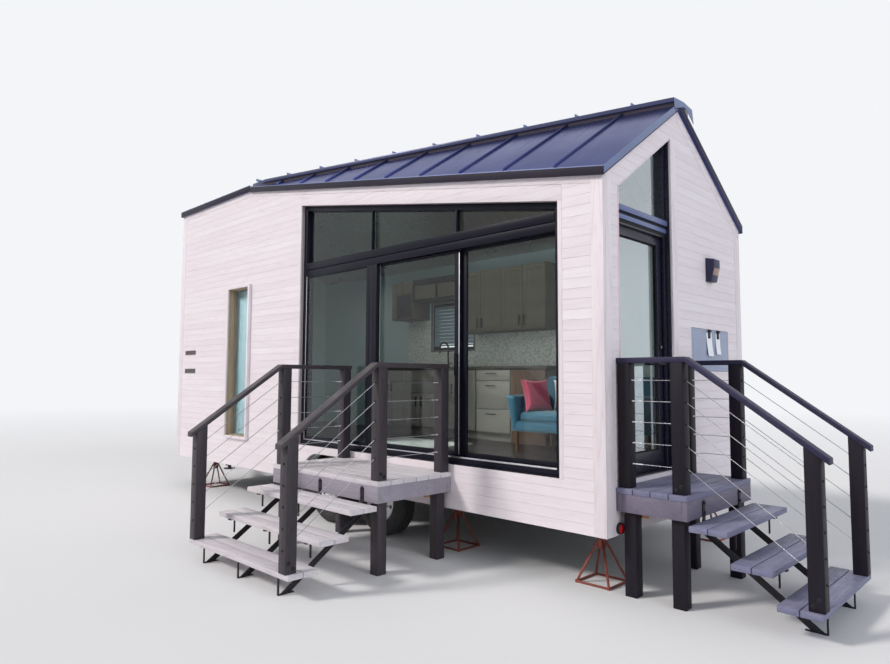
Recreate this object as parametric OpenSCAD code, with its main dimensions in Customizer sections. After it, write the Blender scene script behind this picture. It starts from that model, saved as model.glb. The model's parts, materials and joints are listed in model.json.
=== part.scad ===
/* [House body] */
// Length of the house over its trim boards, along X
house_l = 6950; // [6300:50:8400]
// Width of the house over its trim boards, along Y
house_w = 2590; // [2440:10:2900]
// Thickness of the siding and trim boards that lie on the framed walls
skin_t = 20; // [12:1:30]
// Depth of the walls from the trim's face to the room
wall_t = 150; // [140:5:200]
// Height of the siding's lower edge above the ground
siding_z = 410; // [360:5:500]
// Height of the finished floor
floor_z = 780; // [740:5:850]
// Thickness of the floor deck
floor_t = 160; // [120:5:180]
// Width of the corner boards and the casings
trim_w = 100; // [70:5:130]
// Width of the narrow casing beside the glass front
case_w = 38; // [25:1:60]
// Height of the frieze boards under the roof
frieze_h = 72; // [40:2:120]
// Upright height of the rake boards under the back slope
rake_w = 112; // [80:2:150]

/* [Roof] */
// Height of the roof's underside at the low front corner
eave_z = 2995; // [2900:5:3200]
// Distance from the gable where the rising front eave reaches the upper roof
ridge_run = 4984.4; // [4000:0.1:6900]
// Height of the roof's underside at the peak of the entry gable
ridge_z = 3835; // [3750:5:4000]
// Distance of that peak from the front wall
ridge_t = 1240; // [1100:10:1400]
// Fall of the upper roof towards the back, in degrees
top_angle = 1.146; // [0.3:0.001:2.3]
// Upright thickness of the roof panels
roof_t = 66; // [40:1:120]
// Distance that the roof reaches past the walls
overhang = 25; // [10:1:60]
// Distance between the standing seams
seam_pitch = 495; // [400:5:610]
// Height of a standing seam above the panel
seam_h = 28; // [15:1:40]
// Width of a standing seam
seam_w = 9; // [8:1:25]
// Distance of the first front seam from the gable
seam_front = 405; // [200:5:495]
// Distance of the first back seam from the gable
seam_back = 330; // [200:5:495]
// Reach of the ridge cap before the ridge
cap_front = 110; // [60:5:160]
// Reach of the ridge cap behind the ridge
cap_back = 250; // [100:5:300]
// Height of the ridge cap above the upper panels
cap_t = 5; // [4:1:15]
// Height of the ridge cap's front hem
cap_hem = 38; // [20:1:50]
// Overhang of the ridge cap past its closure
cap_lip = 20; // [10:1:40]

/* [Glass front] */
// Distance of the opening's near side from the gable
open_near = 390; // [300:10:600]
// Distance of the opening's far side from the gable
open_far = 3860; // [3600:10:4000]
// Drop from the roof's underside to the heads of the openings
head_drop = 200; // [180:5:260]
// Height of the transom bar's lower edge
bar_z = 2650; // [2600:5:2700]
// Height of the transom bar
bar_h = 150; // [80:5:180]
// Width of the outer frame bars
frame_w = 55; // [40:1:80]
// Depth of the frame behind the trim's face where it starts
frame_depth = 48; // [30:1:50]
// Width of the stiles where two panels meet
stile_w = 60; // [45:1:80]
// Width of the panels' other stiles and top rails
edge_w = 14; // [8:1:45]
// Height of the panels' bottom rails
rail_w = 40; // [25:1:80]
// Thickness of a door panel
panel_t = 28; // [20:1:30]
// Thickness of the glass
glass_t = 8; // [6:1:14]
// Clearance round a moving panel
gap = 6; // [5:1:10]
// Clearance between a moving panel and what carries it
seat_gap = 0.3; // [0.2:0.05:0.5]
// Distance of the near meeting stiles from the gable
meet_near = 1480; // [1400:5:1600]
// Distance of the far post's near side from the gable
post_s = 2570; // [2500:5:2640]
// Width of the far post
post_w = 110; // [80:5:140]
// Width of the upright bars in the transom
transom_w = 14; // [10:1:60]
// Travel of the sliding panel
slide_travel = 1000; // [900:10:1020]
// Height of the pull handle's middle above the floor
pull_h = 860; // [800:10:1100]
// Length of the pull handle
pull_l = 200; // [120:10:300]

/* [Entry door] */
// Distance of the opening's near side from the front wall's face
door_near = 225; // [200:5:300]
// Distance of the opening's far side from the front wall's face
door_far = 1100; // [1050:5:1150]
// Height of the door's head bar
door_head_z = 2710; // [2600:5:2750]
// Height of the head bar with the sill of the window above it
door_head_h = 130; // [100:5:180]
// Width of the jambs
jamb_w = 20; // [12:1:40]
// Thickness of the door
leaf_t = 45; // [35:1:55]
// Depth of the door's outer face behind the trim's face
leaf_depth = 90; // [80:1:95]
// Width of the door's stiles
leaf_stile = 78; // [60:1:120]
// Height of the door's bottom rail
leaf_rail = 150; // [100:5:260]
// Radius of the hinge knuckles
knuckle_r = 8; // [7:0.5:9]
// Radius of the hinge pins
pin_r = 4; // [3:0.5:5]
// Radial clearance of the hinge pins in the door's knuckles
pin_play = 0.05; // [0.02:0.01:0.1]
// Length of one hinge knuckle
knuckle_l = 30; // [20:1:40]
// Heights of the hinges above the floor
hinge_z = [180, 870, 1560]; // [100:10:1700]
// Height of the lever above the floor
lever_h = 860; // [800:10:1050]
// Length of the lever
lever_l = 120; // [90:5:140]

/* [Small windows] */
// Distance of the tall window's near side from the gable
tall_near = 4940; // [4900:10:5300]
// Width of the tall window
tall_w = 560; // [350:10:600]
// Reach of the tall window below the floor's top and above the glass front's bar
tall_drop = 25; // [0:5:60]
// Distance that the tall window's frame stands out
tall_out = 35; // [10:1:60]
// Width of the tall window's frame
tall_face = 30; // [20:1:60]
// Width of the tall window's sash bars
tall_sash = 12; // [8:1:40]
// Distance of the kitchen window's near side from the gable
kitchen_near = 3400; // [3300:10:3500]
// Width of the kitchen window
kitchen_w = 800; // [600:10:1000]
// Height of the kitchen window's lower edge
kitchen_z = 1900; // [1850:10:2000]
// Height of the kitchen window
kitchen_h = 660; // [400:10:700]
// Width of the kitchen window's frame bars
sash_w = 45; // [30:1:60]

/* [Fittings] */
// Distance of the gable lamp from the front wall's face
lamp_t = 1770; // [1650:10:2000]
// Width of the gable lamp
lamp_w = 135; // [120:5:220]
// Distance that the gable lamp stands out
lamp_d = 95; // [80:5:160]
// Height of the gable lamp's lower edge
lamp_z = 2400; // [2300:10:2600]
// Height of the gable lamp
lamp_h = 220; // [150:5:260]
// Distance of the gable panel from the front wall's face
panel_near = 1440; // [1350:10:1500]
// Width of the gable panel
panel_w = 810; // [600:10:850]
// Height of the gable panel's lower edge
panel_z = 1590; // [1500:10:1700]
// Height of the gable panel
panel_h = 375; // [250:5:450]
// Thickness of the gable panel
panel_sheet = 14; // [8:1:30]
// Distance of the vents' far side from the far gable
vent_end = 190; // [130:10:400]
// Width of a vent
vent_w = 330; // [250:5:400]
// Height of a vent
vent_h = 65; // [40:5:90]
// Heights of the vents' lower edges
vent_z = [1570, 1825]; // [1400:5:2000]
// Diameter of a tail light
tail_d = 82; // [70:1:95]
// Distance of the near tail light from the front wall's face
tail_t = 170; // [150:5:190]

/* [Trailer] */
// Width of the main beams
beam_w = 80; // [60:5:100]
// Distance of the main beams from the trim's face
beam_in = 290; // [280:5:330]
// Radius of the tyres
tyre_r = 330; // [310:5:345]
// Width of the tyres
tyre_w = 200; // [180:5:220]
// Depth of the tyres behind the trim's face
tyre_in = 45; // [40:5:55]
// Radius of the wheel rims
rim_r = 195; // [170:5:215]
// Radius of the hub's bore in each wheel
bore_r = 30.05; // [25.05:0.5:35.05]
// Height of the tyres above the ground, as the jacks carry the house
lift = 8; // [6:1:20]
// Distances of the axles from the gable
axle_s = [2500, 3340]; // [2300:10:3700]
// Radius of the axle tubes
axle_r = 30; // [25:1:35]
// Distance from the wheel arch's ends to the nearer axle
arch_run = 410; // [380:5:450]
// Height of the wheel arch above the ground
arch_z = 705; // [695:5:720]
// Radius of the wheel arch's upper corners
arch_r = 260; // [150:10:290]
// Width of a jack stand's base
jack_w = 270; // [200:10:300]
// Radius of a jack stand's rods
jack_rod = 9; // [6:1:14]
// Distance of the near jack stands from the gable
jack_near = 240; // [200:10:600]
// Distance of the far jack stands from the far gable
jack_far = 550; // [200:10:800]
// Distance of the nearer middle jack stands from the gable
jack_mid = 1720; // [1500:10:1900]
// Length of the drawbar past the far wall
tongue_l = 1150; // [900:10:1400]
// Length of the drawbar's beams under the house
tongue_root = 900; // [700:10:1200]
// Height of the drawbar's beams
tongue_h = 100; // [80:5:120]

/* [Kitchen and sofa] */
// Height of the worktop above the floor
top_h = 880; // [850:5:920]
// Thickness of the worktop
top_t = 40; // [25:1:50]
// Depth of the base cabinets
base_d = 580; // [500:10:600]
// Distance of the kitchen's near end from the gable
kitchen_s = 1800; // [1750:10:1900]
// Distance of the kitchen's far end from the gable
kitchen_end = 4700; // [4500:10:5200]
// Height of the toe space
toe_h = 100; // [80:5:130]
// Depth of the upper cabinets
upper_d = 320; // [280:10:360]
// Height of the upper cabinets' lower edge
upper_z = 2100; // [2050:10:2200]
// Height of the upper cabinets
upper_h = 780; // [600:10:820]
// Length of the sofa
sofa_l = 1300; // [1150:10:1350]
// Depth of the sofa
sofa_d = 760; // [700:10:800]
// Height of the sofa's legs
sofa_leg = 210; // [120:10:240]
// Height of the sofa's seat
seat_h = 410; // [380:5:450]
// Height of the sofa's back
back_h = 760; // [650:10:850]
// Height of the sofa's arms
arm_h = 570; // [500:10:620]
// Side of the square pillows
pillow = 360; // [300:10:450]
// Thickness of the pillows
pillow_t = 120; // [80:5:150]
// Thickness of the sofa's arms and back
arm_t = 130; // [100:5:160]

/* [Stoops] */
// Width of the front stoop
side_w = 1500; // [1300:10:1600]
// Depth of the front stoop's platform
side_d = 810; // [700:10:900]
// Height of the front stoop's platform
side_z = 720; // [680:5:760]
// Distance of the front stoop from the gable
side_s = 1495; // [1400:5:1600]
// Width of the entry stoop
end_w = 1140; // [1000:10:1200]
// Depth of the entry stoop's platform
end_d = 515; // [450:5:700]
// Height of the entry stoop's platform
end_z = 750; // [700:5:770]
// Distance of the entry stoop from the front wall's face
end_t = 132; // [100:2:200]
// Number of treads on each stoop
treads = 3; // [2:1:4]
// Going of each tread
going = 262; // [240:1:290]
// Thickness of the deck boards and treads
board_t = 38; // [30:1:45]
// Target width of the deck boards
board_w = 140; // [90:5:180]
// Gap between the boards
board_gap = 6; // [3:1:10]
// Height of the rim boards
rim_h = 127; // [100:1:180]
// Thickness of the rim boards
rim_t = 38; // [30:1:45]
// Side of the square posts and legs
post = 89; // [70:1:100]
// Distance of the posts from the platform's edges
post_in = 20; // [10:1:40]
// Height of the rails above the platform
rail_h = 918; // [850:1:1000]
// Thickness of the rails
rail_t = 38; // [25:1:45]
// Distance that the stair rails reach past the lower posts
rail_past = 45; // [20:5:80]
// Diameter of the cables
cable_d = 5; // [3:0.5:8]
// Number of cables in a panel
cables = 5; // [3:1:7]
// Height of the lowest cable above the platform
cable_low = 170; // [100:5:200]
// Distance between the cables
cable_pitch = 147; // [100:1:160]
// Width of the steel straps and stringers
steel_w = 40; // [30:1:60]
// Thickness of the steel bars
steel_t = 8; // [5:1:12]
// Distance of the stringers' uprights from the treads' front edges
string_in = 55; // [30:1:90]
// Height of the stringers' slanting bar
slant_h = 55; // [40:1:80]
// Distance of the front stoop's outer stringers from its sides
side_string_in = 185; // [150:5:300]
// Distance of the entry stoop's stringers from its sides
end_string_in = 250; // [150:5:350]

/* [Hidden] */
$fn = 48;
// Larger than the whole house, for cutting
big = 30000;
// Slopes of the three roof planes
slope_front = (ridge_z - eave_z) / ridge_t;
slope_back = (ridge_z - eave_z) / (house_w - ridge_t);
slope_top = tan(top_angle);
// Rise of the front eave towards the far end
rise_s = (ridge_z + slope_top * ridge_t - eave_z) / ridge_run;
// How far the stoops and the drawbar reach from the house
reach_near = end_d + treads * going + rail_past;
reach_front = side_d + treads * going + rail_past;
reach_far = house_l + tongue_l;
// Place of the low front corner, with the whole part centred on the origin
gable_x = (reach_far - reach_near) / 2;
front_y = (reach_front - house_w - overhang) / 2;
stoop_rise = [side_z / (treads + 1), end_z / (treads + 1)];
beam_top = floor_z - floor_t;
hub_z = lift + tyre_r;
tall_z0 = floor_z - tall_drop;
tall_z1 = bar_z + tall_drop;
tall_in = tall_face + tall_sash;
head_0 = roof_z(open_near, 0) - head_drop;
head_1 = roof_z(open_far, 0) - head_drop;
// Distance from the gable where the front eave reaches the upper roof
ridge_end = min(ridge_run, house_l - 2);

// Height of the roof's underside over a point: s from the gable, t from the front
function roof_z(s, t) = min(eave_z + rise_s * s + slope_front * t,
                            ridge_z + slope_top * (ridge_t - t),
                            eave_z + slope_back * (house_w - t));
// Height of the glass front's head over a point, parallel to the eave
function head_z(s) = head_0 + (s - open_near) * (head_1 - head_0) / (open_far - open_near);
// Distance of the ridge from the front wall, at a distance s from the gable
function ridge_at(s) = (ridge_z + slope_top * ridge_t - eave_z - rise_s * s) / (slope_front + slope_top);

// Helpers: everything on the house is placed by s, t and z
module at_house(s, t, z) {
  translate([gable_x - s, front_y + t, z]) children();
}
module block(s0, s1, t0, t1, z0, z1) {
  at_house(s1, t0, z0) cube([s1 - s0, t1 - t0, z1 - z0]);
}
// Extrudes an outline in (s, z) from t0 to t1
module front_prism(t0, t1) {
  at_house(0, t0, 0) mirror([1, 0, 0]) translate([0, t1 - t0, 0]) rotate([90, 0, 0])
    linear_extrude(t1 - t0) children();
}
// Extrudes an outline in (t, z) from s0 to s1
module gable_prism(s0, s1) {
  at_house(s1, 0, 0) rotate([90, 0, 90]) linear_extrude(s1 - s0) children();
}
module half_space() {
  translate([-big, -big, -2 * big]) cube(2 * big);
}
module below_front(up) {
  tilt = atan(rise_s);
  at_house(0, 0, eave_z + up) rotate([atan(slope_front * cos(tilt)), tilt, 0]) half_space();
}
module below_top(up) {
  at_house(0, ridge_t, ridge_z + up) rotate([-atan(slope_top), 0, 0]) half_space();
}
module below_back(up) {
  at_house(0, house_w, eave_z + up) rotate([-atan(slope_back), 0, 0]) half_space();
}
module under_roof(up = 0) {
  intersection() {
    children();
    below_front(up);
    below_top(up);
    below_back(up);
  }
}
module roof_plan() {
  block(-overhang, house_l + overhang, -overhang, house_w + overhang,
    eave_z - big / 10, ridge_z + big / 10);
}

// Walls
module open_outline() {
  polygon([[open_near, floor_z], [open_far, floor_z],
           [open_far, head_1], [open_near, head_0]]);
}
module arch_outline() {
  arch_0 = axle_s[0] - arch_run;
  arch_1 = axle_s[1] + arch_run;
  translate([arch_0, 0]) square([arch_1 - arch_0, arch_z - arch_r]);
  translate([arch_0 + arch_r, 0]) square([arch_1 - arch_0 - 2 * arch_r, arch_z]);
  for (s = [arch_0 + arch_r, arch_1 - arch_r]) translate([s, arch_z - arch_r]) circle(arch_r);
}
module front_wall_near() {
  color("#d9cfcf") under_roof() block(skin_t, open_near, skin_t, wall_t, siding_z, ridge_z);
}
module front_wall_far() {
  color("#d9cfcf") difference() {
    under_roof() block(open_far, house_l - skin_t, skin_t, wall_t, siding_z, ridge_z + roof_t);
    block(tall_near, tall_near + tall_w, 0, wall_t + 1, tall_z0, tall_z1);
  }
}
module front_wall_below() {
  color("#d9cfcf") difference() {
    block(open_near, open_far, skin_t, wall_t, siding_z, floor_z);
    front_prism(0, wall_t + 1) arch_outline();
  }
}
module front_wall_head() {
  color("#d9cfcf") under_roof() front_prism(skin_t, wall_t) polygon([
    [open_near, head_0], [open_far, head_1],
    [open_far, ridge_z + roof_t], [open_near, ridge_z + roof_t]]);
}
module entry_wall_corner() {
  color("#d9cfcf") under_roof() block(skin_t, wall_t, wall_t, door_near, siding_z, ridge_z);
}
module entry_wall_field() {
  color("#d9cfcf") under_roof()
    block(skin_t, wall_t, door_far, house_w - wall_t, siding_z, ridge_z + roof_t);
}
module entry_wall_below() {
  color("#d9cfcf") block(skin_t, wall_t, door_near, door_far, siding_z, floor_z);
}
module entry_wall_head() {
  color("#d9cfcf") under_roof() gable_prism(skin_t, wall_t) polygon([
    [door_near, roof_z(0, door_near) - head_drop], [door_far, roof_z(0, door_far) - head_drop],
    [door_far, ridge_z + roof_t], [door_near, ridge_z + roof_t]]);
}
module back_wall() {
  color("#d9cfcf") difference() {
    under_roof() block(skin_t, house_l - skin_t, house_w - wall_t, house_w - skin_t, siding_z, ridge_z);
    block(kitchen_near, kitchen_near + kitchen_w, house_w - wall_t - 1, house_w,
      kitchen_z, kitchen_z + kitchen_h);
    front_prism(house_w - wall_t - 1, house_w) arch_outline();
  }
}
module far_wall() {
  color("#d9cfcf") under_roof()
    block(house_l - wall_t, house_l - skin_t, wall_t, house_w - wall_t, siding_z, ridge_z + roof_t);
}
module floor_deck() {
  color("#4a4440") difference() {
    block(wall_t, house_l - wall_t, wall_t, house_w - wall_t, beam_top, floor_z);
    // Room over the tyres
    for (t0 = [wall_t - 1, house_w - beam_in])
      block(axle_s[0] - arch_run, axle_s[1] + arch_run, t0, t0 + beam_in - wall_t + 1,
        beam_top - 1, arch_z + 15);
  }
}

// Roof
module roof_front() {
  color("#2b2c30") difference() {
    under_roof(roof_t) roof_plan();
    below_front(0);
  }
}
module roof_top() {
  color("#2b2c30") intersection() {
    difference() {
      intersection() { roof_plan(); below_top(roof_t); below_back(roof_t); }
      below_top(0);
    }
    below_front(0);
  }
}
module roof_back() {
  color("#2b2c30") intersection() {
    difference() {
      intersection() { roof_plan(); below_back(roof_t); }
      below_back(0);
    }
    below_front(0);
    below_top(0);
  }
}
module seam_fins(first, t0, t1) {
  for (s = [first : seam_pitch : house_l])
    block(s - seam_w / 2, s + seam_w / 2, t0, t1, eave_z, ridge_z + roof_t + 2 * seam_h);
}
// Band along the slanting ridge, from a before it to b behind it
module ridge_band(a, b) {
  at_house(0, ridge_at(0), eave_z) rotate([0, 0, atan((ridge_at(0) - ridge_at(1000)) / 1000)])
    translate([-ridge_end * 1.02, -a, 0]) cube([ridge_end * 1.02 + overhang * 2, a + b, ridge_z]);
}
module roof_seams() {
  color("#232428") difference() {
    union() {
      difference() {
        intersection() {
          seam_fins(seam_front, -overhang, ridge_t);
          below_front(roof_t + seam_h);
          below_top(roof_t);
        }
        below_front(roof_t);
      }
      difference() {
        intersection() {
          seam_fins(seam_back, 0, house_w + overhang);
          below_top(roof_t + seam_h);
          below_back(roof_t + seam_h);
          below_front(roof_t);
        }
        intersection() { below_top(roof_t); below_back(roof_t); }
      }
    }
    ridge_band(cap_front - cap_lip + 0.05, cap_back + 0.05);
  }
}
// The cap carries the upper roof's level over the slanting ridge, with a hem hanging before its closure
module ridge_cap() {
  color("#232428") difference() {
    intersection() { roof_plan(); ridge_band(cap_front, cap_back); below_top(roof_t + cap_t); }
    under_roof(roof_t) roof_plan();
    intersection() {
      ridge_band(cap_front + 1, cap_lip - cap_front);
      below_top(roof_t + cap_t - cap_hem);
    }
  }
}

// Pale trim boards
module upright(a0, a1, z1) {
  translate([a0, siding_z]) square([a1 - a0, z1 - siding_z]);
}
module gable_boards(cased) {
  upright(skin_t, skin_t + trim_w, ridge_z + big / 100);
  upright(house_w - skin_t - trim_w, house_w - skin_t, ridge_z);
  if (cased) translate([door_far, floor_z])
    square([trim_w, roof_z(0, door_far) - head_drop - floor_z]);
  polygon([[ridge_t, roof_z(0, ridge_t) - rake_w],
           [house_w - skin_t - 1, roof_z(0, house_w - skin_t - 1) - rake_w],
           [house_w - skin_t - 1, ridge_z + big / 100], [ridge_t, ridge_z + big / 100]]);
}
module pale_trim() {
  color("#e0d6d6") {
    for (s0 = [0, house_l - trim_w]) under_roof()
      block(s0, s0 + trim_w, house_w - skin_t, house_w, siding_z, ridge_z);
    under_roof() gable_prism(0, skin_t) gable_boards(true);
    under_roof() gable_prism(house_l - skin_t, house_l) gable_boards(false);
  }
  color("#e0d6d6") under_roof() front_prism(0, skin_t) {
    upright(0, trim_w, ridge_z);
    upright(house_l - trim_w, house_l, ridge_z + big / 100);
    polygon([[1, roof_z(1, 0) - frieze_h], [1, ridge_z + big / 100],
      [house_l - 1, ridge_z + big / 100], [house_l - 1, roof_z(house_l, 0) - frieze_h],
      [ridge_end, roof_z(ridge_end, 0) - frieze_h]]);
    difference() {
      polygon([[open_near - case_w, floor_z], [open_far, floor_z],
               [open_far, roof_z(open_far, 0) - frieze_h + 1],
               [open_near - case_w, roof_z(open_near - case_w, 0) - frieze_h + 1]]);
      open_outline();
    }
  }
  // The tall window's frame lines its hole and stands out past the boards
  color("#e0d6d6") ring(tall_near, tall_near + tall_w, -tall_out, wall_t - 20, tall_z0, tall_z1, tall_face);
}

// Glass front: an outer frame with a transom, one fixed panel each side and one that slides
panel_z0 = floor_z + frame_w;
panel_z1 = bar_z;
panel_near_s = open_near + frame_w;
panel_far_s = open_far - frame_w;
layer = [frame_depth + 4, frame_depth + 4 + panel_t + gap, frame_depth + 4 + 2 * (panel_t + gap)];
module panel_ring(s0, s1, t0, z0, z1, near_w, far_w) {
  difference() {
    block(s0, s1, t0, t0 + panel_t, z0, z1);
    block(s0 + near_w, s1 - far_w, t0 - 1, t0 + panel_t + 1, z0 + rail_w, z1 - edge_w);
  }
}
module panel_glass(s0, s1, t0, z0, z1, near_w, far_w) {
  mid = t0 + (panel_t - glass_t) / 2;
  block(s0 + near_w, s1 - far_w, mid, mid + glass_t, z0 + rail_w, z1 - edge_w);
}
module big_window_frame() {
  color("#1d1d22") {
    difference() {
      front_prism(frame_depth, wall_t) open_outline();
      front_prism(frame_depth - 1, wall_t + 1) {
        polygon([[panel_near_s, panel_z0], [panel_far_s, panel_z0],
                 [panel_far_s, panel_z1], [panel_near_s, panel_z1]]);
        polygon([[panel_near_s, bar_z + bar_h], [panel_far_s, bar_z + bar_h],
                 [panel_far_s, head_z(panel_far_s) - frame_w],
                 [panel_near_s, head_z(panel_near_s) - frame_w]]);
      }
    }
    for (s = [meet_near, post_s + post_w / 2]) front_prism(frame_depth, wall_t) polygon([
      [s - transom_w / 2, bar_z + bar_h], [s + transom_w / 2, bar_z + bar_h],
      [s + transom_w / 2, head_z(s + transom_w / 2) - frame_w],
      [s - transom_w / 2, head_z(s - transom_w / 2) - frame_w]]);
    block(post_s, post_s + post_w, layer[0], layer[0] + panel_t, panel_z0, panel_z1);
    panel_ring(post_s + post_w, panel_far_s, layer[0], panel_z0, panel_z1, stile_w, edge_w);
    panel_ring(panel_near_s, meet_near + 10, layer[2], panel_z0, panel_z1, edge_w, stile_w);
    // Track under the sliding panel
    block(panel_near_s, panel_far_s, layer[1] + 8, layer[1] + panel_t - 8,
      panel_z0 - 1, panel_z0 + gap - seat_gap);
  }
}
slide_far = post_s + stile_w + 10;
module sliding_panel() {
  color("#1d1d22") {
    panel_ring(meet_near, slide_far, layer[1], panel_z0 + gap, panel_z1 - gap, stile_w, stile_w);
    pull_s = meet_near + stile_w / 2;
    block(pull_s - 10, pull_s + 10, layer[1] - 22, layer[1] + panel_t + 18,
      floor_z + pull_h - pull_l / 2, floor_z + pull_h - pull_l / 2 + 18);
    block(pull_s - 10, pull_s + 10, layer[1] - 22, layer[1] + panel_t + 18,
      floor_z + pull_h + pull_l / 2 - 18, floor_z + pull_h + pull_l / 2);
    for (t = [layer[1] - 30, layer[1] + panel_t + 14]) block(pull_s - 10, pull_s + 10, t, t + 10,
      floor_z + pull_h - pull_l / 2, floor_z + pull_h + pull_l / 2);
  }
}
module sliding_glass() {
  color("#9fb0ae", 0.35)
    panel_glass(meet_near, slide_far, layer[1], panel_z0 + gap, panel_z1 - gap, stile_w, stile_w);
}
module transom_pane(s0, s1) {
  up = -frame_w - 0.05;
  front_prism(layer[1], layer[1] + glass_t) polygon([[s0, bar_z + bar_h], [s1, bar_z + bar_h],
    [s1, head_z(s1) + up], [s0, head_z(s0) + up]]);
}
module window_glass() {
  post_mid = post_s + post_w / 2;
  win_t = house_w - wall_t / 2;
  color("#9fb0ae", 0.35) {
    panel_glass(post_s + post_w, panel_far_s, layer[0], panel_z0, panel_z1, stile_w, edge_w);
    panel_glass(panel_near_s, meet_near + 10, layer[2], panel_z0, panel_z1, edge_w, stile_w);
    transom_pane(panel_near_s, meet_near - transom_w / 2);
    transom_pane(meet_near + transom_w / 2, post_mid - transom_w / 2);
    transom_pane(post_mid + transom_w / 2, panel_far_s);
    gable_prism(leaf_depth, leaf_depth + glass_t) polygon([
      [door_near + jamb_w, door_head_z + door_head_h],
      [door_far - jamb_w, door_head_z + door_head_h],
      [door_far - jamb_w, roof_z(0, door_far - jamb_w) - head_drop - jamb_w - 0.05],
      [door_near + jamb_w, roof_z(0, door_near + jamb_w) - head_drop - jamb_w - 0.05]]);
    block(tall_near + tall_in, tall_near + tall_w - tall_in, wall_t / 2, wall_t / 2 + glass_t,
      tall_z0 + tall_in, tall_z1 - tall_in);
    block(kitchen_near + sash_w, kitchen_near + kitchen_w - sash_w, win_t, win_t + glass_t,
      kitchen_z + sash_w, kitchen_z + kitchen_h - sash_w);
  }
}

// Entry door
leaf_near = door_near + jamb_w + gap;
leaf_far = door_far - jamb_w - gap;
leaf_z0 = floor_z + 12;
leaf_z1 = door_head_z - gap;
hinge_s = leaf_depth + leaf_t + knuckle_r;
hinge_t = leaf_near + 3;
module knuckle(z, bore) {
  at_house(hinge_s, hinge_t, z) difference() {
    cylinder(h = knuckle_l, r = knuckle_r);
    translate([0, 0, -1]) cylinder(h = knuckle_l + 2, r = bore);
  }
}
module door_frame() {
  color("#1d1d22") {
    difference() {
      gable_prism(leaf_depth - 30, wall_t) polygon([[door_near, floor_z], [door_far, floor_z],
        [door_far, roof_z(0, door_far) - head_drop], [door_near, roof_z(0, door_near) - head_drop]]);
      gable_prism(leaf_depth - 31, wall_t + 1) {
        polygon([[door_near + jamb_w, floor_z + gap], [door_far - jamb_w, floor_z + gap],
                 [door_far - jamb_w, door_head_z], [door_near + jamb_w, door_head_z]]);
        polygon([[door_near + jamb_w, door_head_z + door_head_h],
                 [door_far - jamb_w, door_head_z + door_head_h],
                 [door_far - jamb_w, roof_z(0, door_far - jamb_w) - head_drop - jamb_w],
                 [door_near + jamb_w, roof_z(0, door_near + jamb_w) - head_drop - jamb_w]]);
      }
    }
    // Door stops
    difference() {
      block(leaf_depth - 30, leaf_depth - gap, door_near + 1, door_far - 1, floor_z + 1, door_head_z + 1);
      block(leaf_depth - 31, leaf_depth, door_near + jamb_w + 14, door_far - jamb_w - 14,
        floor_z, door_head_z - 14);
    }
    // Fixed halves of the hinges
    for (h = hinge_z, k = [0, 1]) {
      z = floor_z + h + k * 2 * (knuckle_l + seat_gap);
      knuckle(z, pin_r - 1);
      block(hinge_s - 3, hinge_s + 3, door_near + jamb_w - 1, hinge_t - pin_r, z, z + knuckle_l);
    }
    for (h = hinge_z) at_house(hinge_s, hinge_t, floor_z + h)
      cylinder(h = 3 * knuckle_l + 2 * seat_gap, r = pin_r);
  }
}
module entry_door() {
  color("#1d1d22") {
    difference() {
      block(leaf_depth, leaf_depth + leaf_t, leaf_near, leaf_far, leaf_z0, leaf_z1);
      block(leaf_depth - 1, leaf_depth + leaf_t + 1, leaf_near + leaf_stile, leaf_far - leaf_stile,
        leaf_z0 + leaf_rail, leaf_z1 - leaf_stile);
    }
    for (h = hinge_z) {
      z = floor_z + h + knuckle_l + seat_gap;
      knuckle(z, pin_r + pin_play);
      difference() {
        block(leaf_depth + leaf_t - 1, hinge_s, hinge_t + 1, hinge_t + knuckle_r, z, z + knuckle_l);
        at_house(hinge_s, hinge_t, z - 1) cylinder(h = knuckle_l + 2, r = knuckle_r - 1);
      }
    }
  }
}
module entry_door_glass() {
  mid = leaf_depth + (leaf_t - glass_t) / 2;
  color("#9fb0ae", 0.35) block(mid, mid + glass_t, leaf_near + leaf_stile, leaf_far - leaf_stile,
    leaf_z0 + leaf_rail, leaf_z1 - leaf_stile);
}
module door_lever() {
  rose_t = leaf_far - leaf_stile / 2;
  color("#303034") for (side = [0, 1]) {
    s_face = side == 0 ? leaf_depth : leaf_depth + leaf_t;
    dir = side == 0 ? -1 : 1;
    for (z = [floor_z + lever_h, floor_z + lever_h + 140]) at_house(s_face, rose_t, z)
      rotate([0, -90 * dir, 0]) cylinder(h = 10, r = 26);
    at_house(s_face, rose_t, floor_z + lever_h) rotate([0, -90 * dir, 0]) cylinder(h = 45, r = 9);
    block(min(s_face + dir * 35, s_face + dir * 47), max(s_face + dir * 35, s_face + dir * 47),
      rose_t - lever_l, rose_t + 12, floor_z + lever_h - 9, floor_z + lever_h + 9);
  }
}

// Small windows
module ring(s0, s1, t0, t1, z0, z1, w) {
  difference() {
    block(s0, s1, t0, t1, z0, z1);
    block(s0 + w, s1 - w, t0 - 1, t1 + 1, z0 + w, z1 - w);
  }
}
module small_window_frames() {
  color("#1d1d22") {
    ring(tall_near + tall_face, tall_near + tall_w - tall_face, wall_t / 2 - 14, wall_t / 2 + glass_t + 14,
      tall_z0 + tall_face, tall_z1 - tall_face, tall_sash);
    ring(kitchen_near, kitchen_near + kitchen_w, house_w - wall_t + 20, house_w - frame_depth,
      kitchen_z, kitchen_z + kitchen_h, sash_w);
  }
}

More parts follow.
